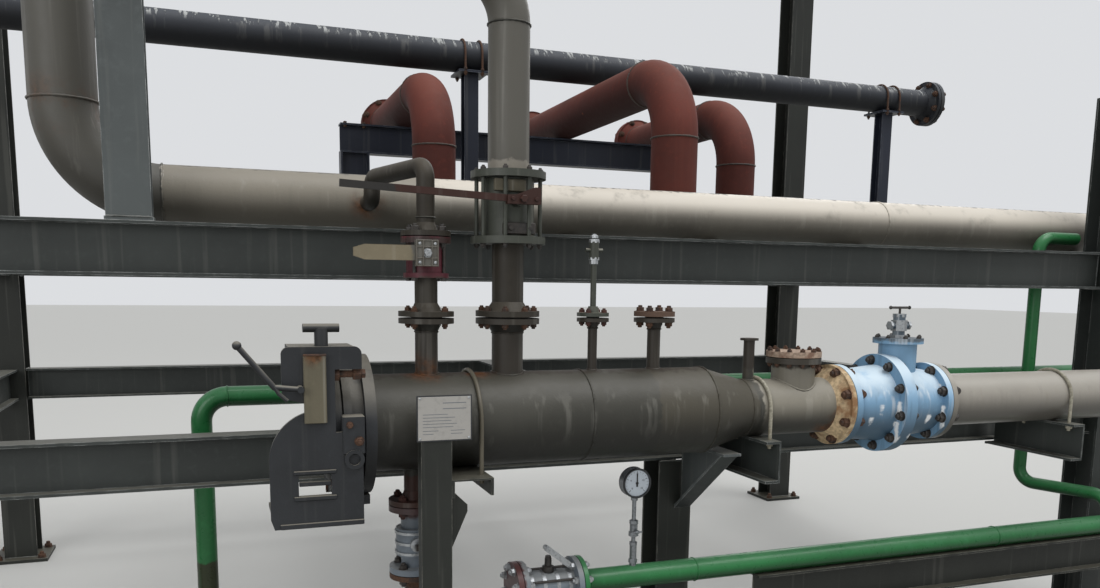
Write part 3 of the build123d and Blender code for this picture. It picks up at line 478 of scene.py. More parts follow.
# %% Dress the CAD nodes
finishes = {
    lit_frame_paint: "stub_column knee_bracket",
    shaded_frame_paint: "label_post flat_arm middle_post low_beam low_posts rear_post_left rear_post_right",
    portal_paint: "portal_frame tee_posts",
    header_paint: "header_pipe",
    neck_paint: "branch_a_riser branch_a_pipe branch_b_riser",
    upper_paint: "upper_pipe branch_b_pipe",
    pale_paint: "pale_pipe",
    flaking_paint: "high_rear_pipe",
    primer_red: "red_loop_1 red_loop_2 red_loop_3",
    green_paint: "green_low_pipe green_riser",
    footed_green_paint: "green_rear_pipe",
    blue_casting: "check_valve check_valve_bonnet",
    maroon_casting: "branch_a_valve",
    grey_green_casting: "branch_b_valve sample_tapping",
    silver_casting: "drain_valve green_low_valve",
    cream_bar: "branch_a_lever",
    long_bar: "branch_b_lever",
    dark_closure: "closure_hub closure_door closure_yoke closure_lever",
    ochre_steel: "run_flange",
    cover_steel: "blind_covers",
    brown_steel: "drain_pipe",
    clamp_steel: "u_bolts",
    dulled_steel: "pressure_gauge",
    sheet_edge: "label_plate",
}
painted = {name: finish for finish, names in finishes.items() for name in names.split()}
for name, node in nodes.items():
    node.data.materials.clear()
    node.data.materials.append(painted.get(name, frame_paint))
print("finishes on nodes", len(finishes) + 1)

# %% [markdown]
# Small hardware is what tells the eye how big the pipes are. Nuts, studs, straps and weld beads are all
# rings of points joined one after another, so one function lofts them. Each finish collects them in one
# mesh.

# %% Lofted shapes
STUD_PROUD, CHAMFER = 1.35, 0.12


class Pile:
    """Many small solids that become one piece."""

    def __init__(self):
        self.points, self.faces = [], []

    def loft(self, rings, closed=False):
        """Joins rings of equal length into a solid: with end caps, or closed on itself."""
        start, count = len(self.points), len(rings[0])
        for ring in rings:
            self.points.extend(tuple(p) for p in ring)
        for step in range(len(rings) if closed else len(rings) - 1):
            low = start + step * count
            high = start + (step + 1) % len(rings) * count
            for i in range(count):
                j = (i + 1) % count
                self.faces.append((low + i, low + j, high + j, high + i))
        if not closed:
            self.faces.append(tuple(start + i for i in reversed(range(count))))
            self.faces.append(tuple(start + (len(rings) - 1) * count + i for i in range(count)))

    def piece(self, name, finish, slot, body="frame", smooth=None):
        mesh = bpy.data.meshes.new(name)
        mesh.from_pydata(self.points, [], self.faces)
        mesh.materials.append(finish)
        if smooth:
            mesh.polygons.foreach_set("use_smooth", [True] * len(mesh.polygons))
            mesh.set_sharp_from_angle(angle=math.radians(smooth))
        piece = into_scene(name, mesh)
        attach(piece, body)


def circle(centre, axis, radius, sides, turn=0.0):
    helper = Z_WAY if abs(axis.z) < 0.9 else X_WAY
    first = axis.cross(helper).normalized()
    second = axis.cross(first)
    angles = [turn + 2 * math.pi * i / sides for i in range(sides)]
    return [centre + (first * math.cos(a) + second * math.sin(a)) * radius * MM for a in angles]


def turned(pile, foot, axis, profile, sides=24, turn=0.0, closed=False):
    """A body of revolution, or a closed ring: the profile gives distance along the axis and radius."""
    rings = [circle(foot + axis * along * MM, axis, radius, sides, turn) for along, radius in profile]
    pile.loft(rings, closed)


def rod(pile, foot, axis, radius, length, sides=12):
    turned(pile, foot, axis, [(0, radius), (length, radius)], sides)


def hexes(pile, x, y, rows):
    """Hexagons on one upright axis, each with the height of its foot, its radius and its height."""
    for z, radius, height in rows:
        turned(pile, at(x, y, z), Z_WAY, [(0, radius), (height - 2, radius), (height, radius - 2)], 6)


def collar(pile, foot, axis, inner, outer, wide, sides=48):
    turned(pile, foot, axis, [(0, inner), (0, outer), (wide, outer), (wide, inner)], sides, closed=True)


def block(pile, corner, opposite, bevel=1.5):
    """A box between two drawing points, with its upright edges and its top and bottom rims bevelled."""
    (left, front, low), (right, back, high) = corner, opposite
    rings, b = [], bevel
    for z, inset in ((low, b), (low + b, 0), (high - b, 0), (high, b)):
        x0, x1, y0, y1 = left + inset, right - inset, front + inset, back - inset
        rings.append([at(x, y, z) for x, y in (
            (x0 + b, y0), (x1 - b, y0), (x1, y0 + b), (x1, y1 - b), (x1 - b, y1), (x0 + b, y1), (x0, y1 - b),
            (x0, y0 + b),
        )])
    pile.loft(rings)


def nut(pile, seat, axis, bolt, turn=0.0):
    """A hex nut or bolt head with a washer under it, standing on its seat."""
    rod(pile, seat, axis, bolt, CHAMFER * bolt, 16)
    radius, height, edge = 0.87 * bolt, 0.9 * bolt, CHAMFER * bolt
    turned(pile, seat, axis, [(0, radius), (height - edge, radius), (height, 0.86 * radius)], 6, turn)


def stud(pile, foot, axis, bolt, length):
    radius = 0.5 * bolt
    turned(pile, foot, axis, [(0, radius), (length - CHAMFER * bolt, radius), (length, 0.38 * bolt)], 10)


def bolt_circle(pile, face, axis, circle_mm, count, bolt, near, far, first=0.5):
    """Studs through a joint: near and far are the depths of its two sides, and None leaves a side bare."""
    for i, place in enumerate(circle(face, axis, circle_mm / 2, count, 2 * math.pi * first / count)):
        for side, depth in ((-1, near), (1, far)):
            if depth is not None:
                seat = place + axis * side * depth * MM
                nut(pile, seat, axis * side, bolt, turn=1.7 * i)
                stud(pile, seat, axis * side, bolt, STUD_PROUD * bolt)


def rod_circle(pile, low, high, axis, circle_mm, count, bolt):
    """Threaded rods between two points of one axis, with a nut on each end."""
    reach, proud = (high - low).length / MM, 0.9 * bolt
    for place in circle(low, axis, circle_mm / 2, count, math.pi / count):
        turned(pile, place, axis, [(-proud, 0.5 * bolt), (reach + proud, 0.5 * bolt)], 10)
        nut(pile, place, -axis, bolt)
        nut(pile, place + axis * reach * MM, axis, bolt)


def strip(pile, start, end, wide, thick, outward):
    """A flat bar between two points of a surface."""
    side = (end - start).normalized().cross(outward).normalized() * wide / 2 * MM
    rise = outward * thick * MM
    pile.loft([[p + side, p - side, p - side + rise, p + side + rise] for p in (start, end)])


def tube(pile, path, side, radius, sides=8):
    """A round bar along a path that stays in the plane square to the side vector."""
    rings = []
    for i, point in enumerate(path):
        other = (path[min(i + 1, len(path) - 1)] - path[max(i - 1, 0)]).normalized().cross(side)
        angles = [2 * math.pi * k / sides for k in range(sides)]
        rings.append([point + (side * math.cos(a) + other * math.sin(a)) * radius * MM for a in angles])
    pile.loft(rings)


def dome(pile, seat, axis, radius, height):
    turned(pile, seat, axis, [(0, radius), (0.5 * height, 0.94 * radius), (height, 0.4 * radius)], 16)


# %% [markdown]
# A girth weld is laid as overlapping puddles, so its bead is a little thicker at each puddle. A saddle weld
# where a neck stands on a bigger pipe follows the curve where two cylinders meet. A seam is straight.

# %% Weld beads
BEAD_SIDES, PUDDLE_MM, SEAM_WIDTH = 6, 9, 3.5
weld_finish = {
    "header": (header_paint, "pipe_grey_paint"), "upper": (upper_paint, "pipe_grey_paint"),
    "loops": (scale_steel, "red_oxide_primer"), "green": (green_paint, "green_pipe_paint"),
    "rear": (flaking_paint, "dark_pipe_paint"), "pale": (pale_paint, "pale_pipe_paint"),
}
welds = {line: Pile() for line in weld_finish}


def swell(i, seed=0):
    return 1 + 0.18 * math.sin(2.4 * i) + 0.1 * math.sin(0.7 * i + seed)


def bead(pile, path, width, seed):
    """A closed weld bead of this half width along a ring of points."""
    rings, count = [], len(path)
    for i, point in enumerate(path):
        along = (path[(i + 1) % count] - path[i - 1]).normalized()
        rings.append(circle(point, along, width * swell(i, seed), BEAD_SIDES))
    pile.loft(rings, closed=True)


def puddles(pipe_mm):
    return max(28, int(math.pi * pipe_mm / PUDDLE_MM))


def girth_weld(line, centre, axis, pipe_mm, width=4.0):
    """A bead around one of the pipe lines."""
    bead(welds[line], circle(centre, axis, pipe_mm / 2 + 0.5, puddles(pipe_mm)), width, pipe_mm)


def saddle_weld(x, shell_mm, neck_mm, up=1, width=4.5):
    """Where an upright neck meets the header, which runs along x."""
    path, steps = [], puddles(neck_mm)
    for i in range(steps):
        angle = 2 * math.pi * i / steps
        off_x, off_y = neck_mm / 2 * math.cos(angle), neck_mm / 2 * math.sin(angle)
        rise = math.sqrt((shell_mm / 2) ** 2 - off_y**2)
        path.append(at(x + off_x, HEADER_Y + off_y, HEADER_Z + up * rise))
    bead(welds["header"], path, width, neck_mm)


def seam(pile, x, y, z, way, half):
    """A straight weld with its middle at a drawing point, and this half length each way."""
    rings, steps = [], max(4, int(2 * half / PUDDLE_MM))
    for i in range(steps + 1):
        taper = 0.5 if i in (0, steps) else 1.0
        centre = at(x, y, z) + way * half * (2 * i / steps - 1) * MM
        rings.append(circle(centre, way, SEAM_WIDTH * swell(i) * taper, BEAD_SIDES))
    pile.loft(rings)


# %% [markdown]
# Flanges follow one standard, so the number, size and circle of the bolts come from the pipe size. Each
# joint of the drawing is listed once with its face, its direction and how deep each side is. The finish is
# the real one: rusty on the old joints, dark and oiled on the valves, and zinc plated where the joint was
# made up again.

# %% Flange joints
# nominal size: outside diameter, flange thickness, bolt circle, bolts, bolt size
sizes = {
    200: (219.1, 26, 280, 8, 22), 150: (168.3, 24, 240, 8, 20), 125: (139.7, 24, 210, 8, 16),
    100: (108.0, 22, 180, 8, 13), 80: (88.9, 20, 160, 8, 16), 65: (76.1, 20, 145, 4, 13),
    50: (60.3, 20, 125, 4, 16), 40: (48.3, 18, 110, 4, 16), 25: (33.7, 16, 85, 4, 12),
}
SHELL, RUN, BRANCH_PIPE = 323.9, sizes[200][0], sizes[125][0]
RAISED, LOOP_FLANGE, HUB_SHARE = 3, 26, 2.4
LOOPS, LOOP_BEND = ((-470, -100), (516, -830), (1300, -100)), 305
LOOP_BACK, LOOP_Z, GOOSENECK_Z, GOOSENECK_END = 1230, 2690, 2735, -1160
RISER_X, RISER_TOP, TEE_Y, REAR_PIPE_Z = -2012, 3050, 350, 2945
VALVE_START, VALVE_END, CHECK_MID, CHECK_HALF = 775, 1247, 1003, 26
BONNET, BONNET_TOP, VENT = 1085, 1500, 375
LOW_VALVE_LEFT, LOW_VALVE_RIGHT = -535, -305
rusty, oiled, plated, red_rusty = Pile(), Pile(), Pile(), Pile()


def joint(pile, face, axis, size, far="flange", weld=None):
    """Bolts of one flanged joint, and the weld behind its near hub."""
    pipe, thick, circle_mm, count, bolt = sizes[size]
    depth = {"flange": thick, "cover": thick + RAISED, "none": None}[far]
    bolt_circle(pile, face, axis, circle_mm, count, bolt, thick, depth)
    if weld:
        girth_weld(weld, face - axis * HUB_SHARE * thick * MM, axis, pipe, 3.0)


joint(rusty, on_header(BRANCH_A, NECK_FACE), Z_WAY, 65, weld="header")
joint(rusty, on_header(BRANCH_B, NECK_FACE), Z_WAY, 100, weld="header")
joint(red_rusty, on_header(TAPPING, NECK_FACE), Z_WAY, 25, weld="header")
joint(rusty, on_header(NOZZLE_D, NECK_FACE), Z_WAY, 40, "cover", "header")
bolt_circle(rusty, on_header(NOZZLE_E, 1428), Z_WAY, 190, 12, 11, 22, 25)
joint(oiled, on_header(BRANCH_A, 1848), Z_WAY, 50)
joint(red_rusty, on_header(DRAIN, 950), Z_WAY, 50)
joint(oiled, on_header(DRAIN, 715), Z_WAY, 50)
joint(rusty, on_header(VALVE_START, HEADER_Z), X_WAY, 200)
joint(oiled, on_header(VALVE_END, HEADER_Z), X_WAY, 200)
joint(oiled, on_header(PIPE_END, HEADER_Z), X_WAY, 200, "cover", "pale")
joint(rusty, on_header(GOOSENECK_END, GOOSENECK_Z), -X_WAY, 125, "cover", "header")
joint(rusty, at(RISER_X, UPPER_PIPE_Y, RISER_TOP), Z_WAY, 200, "cover", "upper")
joint(rusty, at(PIPE_END, UPPER_PIPE_Y, UPPER_PIPE_Z), X_WAY, 200, "cover", "upper")
for way in WAYS:
    joint(rusty, at(way * PIPE_END, TEE_Y, REAR_PIPE_Z), X_WAY * way, 150, "cover", "rear")
for x, y in LOOPS:
    joint(rusty, at(x, LOOP_BACK, LOOP_Z), Y_WAY, 200, "cover", "loops")
    joint(rusty, at(x, y, UPPER_TOP + RAISED + LOOP_FLANGE), -Z_WAY, 200, "none", "loops")
joint(plated, at(PIPE_END, UPPER_PIPE_Y, GREEN_Z), X_WAY, 65, "cover", "green")
joint(plated, at(PIPE_END, LOW_Y, LOW_PIPE_Z), X_WAY, 80, "cover", "green")
joint(plated, at(LOW_VALVE_RIGHT, LOW_Y, LOW_PIPE_Z), -X_WAY, 80, weld="green")
joint(plated, at(LOW_VALVE_LEFT, LOW_Y, LOW_PIPE_Z), -X_WAY, 80, "cover")
bolt_circle(rusty, at(GREEN_RISER_X, UPPER_PIPE_Y, 0), Z_WAY, 145, 4, 16, None, 20)
bolt_circle(rusty, on_header(DRAIN, 0), Z_WAY, 125, 4, 16, None, 20)

# %% [markdown]
# The check valve is two castings bolted together on a wide middle flange, and a cover on top. The eight tie
# rods of the second branch valve carry their nuts outside the two plates. Posts stand on base plates with
# four anchor bolts each, set in from the corners of the plate.

# %% Valve and anchor bolts
bolt_circle(oiled, on_header(CHECK_MID, HEADER_Z), X_WAY, 350, 10, 20, CHECK_HALF, CHECK_HALF, first=0.3)
bolt_circle(oiled, on_header(BONNET, BONNET_TOP), Z_WAY, 172, 8, 10, None, 0)
bolt_circle(oiled, on_header(BRANCH_B, 1952), Z_WAY, 216, 8, 11, 120, 120)
BASE_THICK, MIDDLE_POST, LOW_POSTS = 20, 230, (515, 2700)
feet = [(x, y, 115, 24) for x in (LEFT_X, RIGHT_X) for y in (FRONT_Y, REAR_Y)]
feet += [(MIDDLE_POST, FRONT_Y, 92, 16), *[(x, LOW_Y, 66, 12) for x in LOW_POSTS]]
for x, y, inset, bolt in feet:
    for way_x, way_y in CORNERS:
        seat = at(x + way_x * inset, y + way_y * inset, BASE_THICK)
        nut(rusty, seat, Z_WAY, bolt, turn=x + way_x + way_y)
        stud(rusty, seat, Z_WAY, bolt, 1.5 * bolt)

# %% [markdown]
# Welds next. They are painted over with the pipe on the header, upper pipe and green lines. On the red loops
# the primer was left off them, so they show as dark rings.

# %% Pipe welds
for x, pipe in ((HEADER_LEFT + 3, SHELL), (163, SHELL), (343, RUN), (-330, SHELL), (722, RUN)):
    girth_weld("header", on_header(x, HEADER_Z), X_WAY, pipe)
for x, neck in ((BRANCH_A, 76.1), (BRANCH_B, 108), (TAPPING, 33.7), (NOZZLE_D, 48.3)):
    saddle_weld(x, SHELL, neck)
saddle_weld(DRAIN, SHELL, 60.3, up=-1)
for x, neck in ((VENT, 42.4), (NOZZLE_E, 168.3)):
    saddle_weld(x, RUN, neck)
girth_weld("header", on_header(BRANCH_B, 2545), Z_WAY, BRANCH_PIPE)
girth_weld("header", on_header(-790, GOOSENECK_Z), X_WAY, BRANCH_PIPE)
girth_weld("header", on_header(BRANCH_A, 1912), Z_WAY, 60.3, 3.0)
for x in (-1707, 1450):
    girth_weld("upper", at(x, UPPER_PIPE_Y, UPPER_PIPE_Z), X_WAY, RUN)
girth_weld("upper", at(RISER_X, UPPER_PIPE_Y, 2304.5), Z_WAY, RUN, 5.0)
for x, y in LOOPS:
    girth_weld("loops", at(x, y + LOOP_BEND, LOOP_Z), Y_WAY, RUN, 4.5)
    girth_weld("loops", at(x, y, LOOP_Z - LOOP_BEND), Z_WAY, RUN, 4.5)
for x in (-1900, 900):
    girth_weld("rear", at(x, TEE_Y, REAR_PIPE_Z), X_WAY, sizes[150][0])
for x in (200, 1750):
    girth_weld("green", at(x, LOW_Y, LOW_PIPE_Z), X_WAY, sizes[80][0], 3.0)
for x in (-1515, -200, 1100):
    girth_weld("green", at(x, UPPER_PIPE_Y, GREEN_Z), X_WAY, sizes[65][0], 3.0)

# %% Make the bolt and weld pieces
rusty.piece("rusty_bolts", brown_steel, "rusty_steel")
oiled.piece("oiled_bolts", dark_steel, "rusty_steel")
plated.piece("plated_bolts", zinc_steel, "gauge_steel")
red_rusty.piece("red_rusted_bolts", rust_red_steel, "rusty_steel")
for line, (finish, slot) in weld_finish.items():
    welds[line].piece(f"{line}_weld_beads", finish, slot, smooth=60)
print("bolt points", sum(len(pile.points) for pile in (rusty, oiled, plated, red_rusty)))

# %% [markdown]
# The gauge has a rolled bezel, an enamel dial with 16 divisions and plain numbers, and a hand that points
# straight up. Numbers are turned into mesh at once, so nothing depends on a font later.

# %% Pressure gauge
GAUGE_X, GAUGE_Z, PORT_Z, HALF_DEEP = -67, 955, 768, 19
DIVISIONS, SWEEP, HAND_LIFT = 16, math.radians(270), 2.0
dial_middle = at(GAUGE_X, LOW_Y - HALF_DEEP, GAUGE_Z)
bezel, dial_face, print_black, gauge_steel = Pile(), Pile(), Pile(), Pile()


def dial_point(angle, radius, lift=1.0):
    """A point of the dial at this angle from straight up, clockwise."""
    return dial_middle + Vector((math.sin(angle), 0, math.cos(angle))) * radius * MM + FRONT * lift * MM


def lettering(pile, text, centre, size_mm=10, lift_mm=0.3):
    """Plain upright text that faces the front, added to a pile."""
    curve = bpy.data.curves.new("lettering", "FONT")
    curve.body, curve.size, curve.extrude = text, size_mm * MM, lift_mm * MM
    curve.align_x, curve.align_y = "CENTER", "CENTER"
    holder = bpy.data.objects.new("lettering", curve)
    mesh = bpy.data.meshes.new_from_object(holder)
    start = len(pile.points)
    pile.points.extend(tuple(centre + Vector((v.co.x, -v.co.z, v.co.y))) for v in mesh.vertices)
    pile.faces.extend(tuple(start + i for i in face.vertices) for face in mesh.polygons)
    bpy.data.objects.remove(holder)
    bpy.data.meshes.remove(mesh)
    bpy.data.curves.remove(curve)


front_rim = [(-1, 57), (-1, 58.5), (4, 58.5), (7, 56), (7, 52), (2, 50), (-1, 50)]
rear_rim = [(-1, 52), (-1, 58), (2, 57.5), (3, 53)]
turned(bezel, dial_middle, FRONT, front_rim, 48, closed=True)
turned(bezel, at(GAUGE_X, LOW_Y + HALF_DEEP, GAUGE_Z), -FRONT, rear_rim, 48, closed=True)
turned(dial_face, dial_middle, FRONT, [(-0.5, 51), (0.6, 51)], 48)
for i in range(DIVISIONS + 1):
    angle = SWEEP * (i / DIVISIONS - 0.5)
    numbered = i % 4 == 0
    inner, wide = (37, 1.6) if numbered else (41, 0.8)
    strip(print_black, dial_point(angle, inner), dial_point(angle, 46), wide, 0.3, FRONT)
    if numbered:
        lettering(print_black, str(i), dial_point(angle, 28))
for tail, tip, wide in ((-14, 4, 7.0), (4, 38, 5.0)):
    strip(print_black, dial_point(0, tail, HAND_LIFT), dial_point(0, tip, HAND_LIFT), wide, 0.8, FRONT)
turned(print_black, dial_middle, FRONT, [(0, 5.5), (3.4, 5.5), (3.8, 4.5)], 20)
stem = ((638, 17, 16), (708, 15, 14), (744, 19, 18), (792, 17, 15), (884, 13, 16))
hexes(gauge_steel, GAUGE_X, LOW_Y, stem)
turned(gauge_steel, at(GAUGE_X, LOW_Y - 14, PORT_Z), FRONT, [(0, 7), (26, 7), (28, 5)], 12)
tube(gauge_steel, [at(GAUGE_X + way * 17, LOW_Y - 38, PORT_Z) for way in WAYS], Z_WAY, 3.5)
bezel.piece("gauge_bezel", bezel_black, "gauge_steel", smooth=40)
dial_face.piece("gauge_dial", dial_white, "gauge_steel")
print_black.piece("gauge_print_and_hand", dial_black, "gauge_steel")
gauge_steel.piece("gauge_fittings", dulled_steel, "gauge_steel", smooth=40)

# %% [markdown]
# The label is a printed sheet on its dark backing plate, with four rivets. Its lines are generic bars and
# its corner is left bare.

# %% Label sheet
LABEL_X, LABEL_FRONT, LABEL_LOW, LABEL_HEIGHT = -880, -1994.2, 1203, 146
SHEET_THICK, SHEET_HALF, SHEET_RIM, RIVET_X, RIVET_INSET = 1.7, 85, 4, 79, 9
sheet, sheet_lines, rivets = Pile(), Pile(), Pile()
corner = (LABEL_X - SHEET_HALF, LABEL_FRONT, LABEL_LOW + SHEET_RIM)
opposite = (LABEL_X + SHEET_HALF, LABEL_FRONT + SHEET_THICK, LABEL_LOW + LABEL_HEIGHT - SHEET_RIM)
block(sheet, corner, opposite, bevel=0.4)
rows = (
    (122, -6, 70), (104, -6, 70), (86, -70, 10), (76, -70, 34), (66, -70, 22), (56, -70, 40), (46, -70, 28),
    (34, -70, -20), (34, 20, 66), (24, -70, -36), (24, 20, 58),
)
for rise, left, right in rows:
    ends = [at(LABEL_X + x, LABEL_FRONT, LABEL_LOW + rise) for x in (left, right)]
    strip(sheet_lines, *ends, 2.6 if rise > 100 else 1.8, 0.25, FRONT)
for way in WAYS:
    for rise in (RIVET_INSET, LABEL_HEIGHT - RIVET_INSET):
        dome(rivets, at(LABEL_X + way * RIVET_X, LABEL_FRONT, LABEL_LOW + rise), FRONT, 4, 2.4)
sheet.piece("label_sheet", sheet_white, "label_sheet")
sheet_lines.piece("label_lines", sheet_ink, "label_sheet")
rivets.piece("label_rivets", zinc_steel, "label_sheet", smooth=40)

# %% [markdown]
# The closure has a sand-coloured strap, a swing bolt over its rings, a lug with an eye, and a small link
# under its lever. The cast plate gets a rib around its window and a rim along its foot.

# %% Closure details
YOKE_FRONT, YOKE_BACK, STRAP_FRONT, RING_X, PIN_RADIUS = -2019, -2005, -2035, -1225, 214
LUG_FRONT = YOKE_FRONT - 8
strap_cover, closure_parts, closure_bolts, lever_link = Pile(), Pile(), Pile(), Pile()
block(strap_cover, (-1311.5, STRAP_FRONT - 1.5, 1281), (-1246.5, YOKE_FRONT - 0.5, 1484.5), 2.5)
block(closure_bolts, (-1312, STRAP_FRONT - 4, 1482), (-1246, STRAP_FRONT + 6, 1488), 1)
for left, right, front, back, low, high, bevel in (
    (-1346, -1221, YOKE_FRONT - 5, YOKE_BACK, 1046, 1060, 2),
    (-1346, -1221, YOKE_FRONT - 5, YOKE_BACK, 1126, 1138, 2),
    (-1330, -1237, YOKE_FRONT + 3, YOKE_BACK - 1, 1089, 1103, 1.5),
    (-1200, -1134, LUG_FRONT, YOKE_BACK + 20, 1180, 1300, 4),
    (-1388, -1140, YOKE_FRONT - 5, YOKE_BACK, 962, 978, 2),
):
    block(closure_parts, (left, front, low), (right, back, high), bevel)
nut(closure_bolts, at(-1152, LUG_FRONT, 1222), FRONT, 15)
stud(closure_bolts, at(-1152, LUG_FRONT, 1222), FRONT, 15, 24)
nut(closure_bolts, at(-1180, LUG_FRONT, 1272), FRONT, 11)
collar(closure_parts, at(-1167, YOKE_FRONT - 1, 1166), FRONT, 18, 30, 10, 24)
swing_bolt = ((0, 11, 98, 12), (0, 22, 20, 6), (62, 20, 22, 6), (86, 15, 12, 6))
for start, radius, length, sides in swing_bolt:
    rod(closure_bolts, at(RING_X + start, -1992, 1424), X_WAY, radius, length, sides)
for angle in (math.radians(140), math.radians(180), math.radians(220)):
    pin_y, pin_z = HEADER_Y + PIN_RADIUS * math.sin(angle), HEADER_Z + PIN_RADIUS * math.cos(angle)
    rod(closure_bolts, at(RING_X, pin_y, pin_z), X_WAY, 12, 100, 10)
tube(lever_link, [at(x, -2053, z) for x, z in ((-1396, 1396), (-1384, 1376), (-1360, 1354))], Y_WAY, 6)
strap_cover.piece("closure_strap", beige_strap, "pipe_grey_paint")
closure_parts.piece("closure_ribs_and_lugs", dark_closure, "pipe_grey_paint", smooth=40)
closure_bolts.piece("closure_bolts", brown_steel, "rusty_steel", smooth=40)
lever_link.piece("closure_lever_link", dark_closure, "pipe_grey_paint", body="closure_lever", smooth=40)

# %% [markdown]
# Each small valve has parts that turn or hold it: tie rods with nuts, a packing gland, a tee handle, a drain
# ring. They are dull zinc, oiled black or silver paint, as on the real valves. The low valve is held
# together by long rods between its two flanges, and its lever is folded down along it.

# %% Small valve parts
TEE_TOP, TEE_HALF, BAR_RADIUS = 1623, 46, 5
valve_rods, valve_steel, valve_dark, valve_sand = Pile(), Pile(), Pile(), Pile()
rod_circle(valve_rods, on_header(BRANCH_A, 1715), on_header(BRANCH_A, 1828), Z_WAY, 138, 4, 12)
block(valve_dark, (-643, -1858, 1862), (-534, -1830, 1901), 3)
block(valve_sand, (-676, -1856, 2000), (-566, -1838, 2040), 3)
for x in (-622, -555):
    nut(valve_rods, at(x, -1858, 1882), FRONT, 10)
hexes(valve_steel, TAPPING, HEADER_Y, ((1772, 15, 16), (1786, 19, 10), (1846, 19, 12), (1862, 14, 10)))
turned(valve_steel, on_header(TAPPING, 1866), Z_WAY, [(0, 9), (9, 9), (11, 6)], 12)
for z, radius, height in ((BONNET_TOP, 36, 12), (1528, 32, 44), (1584, 27, 14)):
    rod(valve_steel, on_header(BONNET, z), Z_WAY, radius, height, 6)
for way in WAYS:
    rod(valve_steel, on_header(BONNET + way * 40, 1550), X_WAY * way, 19, 10, 6)
rod(valve_dark, on_header(BONNET, 1597), Z_WAY, BAR_RADIUS, TEE_TOP - 1597)
tee_ends = [on_header(BONNET + way * TEE_HALF, TEE_TOP) for way in WAYS]
tube(valve_dark, tee_ends, Y_WAY, BAR_RADIUS)
for way, end in zip(WAYS, tee_ends):
    dome(valve_dark, end, X_WAY * way, 1.5 * BAR_RADIUS, 1.6 * BAR_RADIUS)
for z in (781, 815, 852):
    collar(valve_steel, on_header(DRAIN, z), Z_WAY, 58, 63, 9)
turned(valve_steel, at(DRAIN, HEADER_Y - 55, 822), FRONT, [(0, 24), (22, 24), (24, 16), (40, 16)])
block(valve_dark, (DRAIN - 13, HEADER_Y - 112, 812), (DRAIN + 13, HEADER_Y - 92, 832), 2)
low_flanges = [at(x, LOW_Y, LOW_PIPE_Z) for x in (LOW_VALVE_LEFT, LOW_VALVE_RIGHT)]
rod_circle(valve_rods, *low_flanges, X_WAY, 134, 6, 10)
for x in (-500, -452, -400, -352):
    collar(valve_steel, at(x, LOW_Y, LOW_PIPE_Z), X_WAY, 54, 61, 14)
low_stem = at(-420, LOW_Y - 10, LOW_PIPE_Z + 56)
turned(valve_dark, low_stem, Z_WAY, [(0, 22), (22, 22), (24, 13), (52, 13)], 20)
nut(valve_rods, low_stem + Z_WAY * 50 * MM, Z_WAY, 13)
strip(valve_steel, at(-440, LOW_Y - 40, 742), at(-348, LOW_Y - 40, 669), 22, 7, FRONT)
rod(valve_steel, at(-432, LOW_Y - 10, 736), FRONT, 10, 42)
valve_rods.piece("valve_tie_rods", dark_steel, "rusty_steel", smooth=40)
valve_steel.piece("valve_steel_parts", zinc_steel, "cast_valve_metal", smooth=40)
valve_dark.piece("valve_dark_parts", dark_steel, "cast_valve_metal", smooth=40)
valve_sand.piece("valve_cover_plate", beige_strap, "cast_valve_metal")

# %% [markdown]
# The end of the long lever is clamped to its stem by a wedge, and the wedge turns with the lever. The
# knuckle of the short lever is held by a nut on the stem and four small screws, and has cast ribs.

# %% Lever clamp and knuckle
STEM_A_X, LEVER_A_FRONT, STEM_A_Z = -905, -1877.5, 1793
LEVER_B_Y, STEM_B_Z, WEDGE_FRONT = -1907.5, 1971, 17
knuckle_screws, knuckle_ribs, clamp = Pile(), Pile(), Pile()
for way_z, way_x in CORNERS:
    dome(knuckle_screws, at(STEM_A_X + way_x * 25, LEVER_A_FRONT, STEM_A_Z + way_z * 30), FRONT, 5, 3)
nut(knuckle_screws, at(STEM_A_X, LEVER_A_FRONT, STEM_A_Z), FRONT, 15)
ribs = [(x - 2, x + 2, -41, 41, 5) for x in (-36, -14, 14, 33)]
ribs += [(-35, 35, z, z + 4, 4) for z in (-42, -18, 18, 38)]
for left, right, low, high, proud in ribs:
    corner = (STEM_A_X + left, LEVER_A_FRONT - proud, STEM_A_Z + low)
    block(knuckle_ribs, corner, (STEM_A_X + right, LEVER_A_FRONT + 1, STEM_A_Z + high), 0.8)
wedge = ((-53, -16), (61, -16), (61, 38), (40, 38), (-20, 14), (-53, 12))
for depths in ((9, WEDGE_FRONT), (-11, -6.5)):
    clamp.loft([[at(BRANCH_B + x, LEVER_B_Y - depth, STEM_B_Z + z) for x, z in wedge] for depth in depths])
for x, bolt in ((0, 15), (-36, 8), (44, 8)):
    nut(clamp, at(BRANCH_B + x, LEVER_B_Y - WEDGE_FRONT, STEM_B_Z), FRONT, bolt)
knuckle_screws.piece("lever_a_screws", zinc_steel, "cast_valve_metal", body="branch_a_lever", smooth=40)
knuckle_ribs.piece("lever_a_ribs", cream_bar, "cream_lever_paint", body="branch_a_lever")
clamp.piece("lever_b_clamp", long_bar, "rusty_steel", body="branch_b_lever")

# %% [markdown]
# Clamps hold the high rear pipe on its tee posts, as one bent rod over the pipe with a nut on each leg. A
# small gusset stands beside the label post, and the portal and the stub column are bolted down.

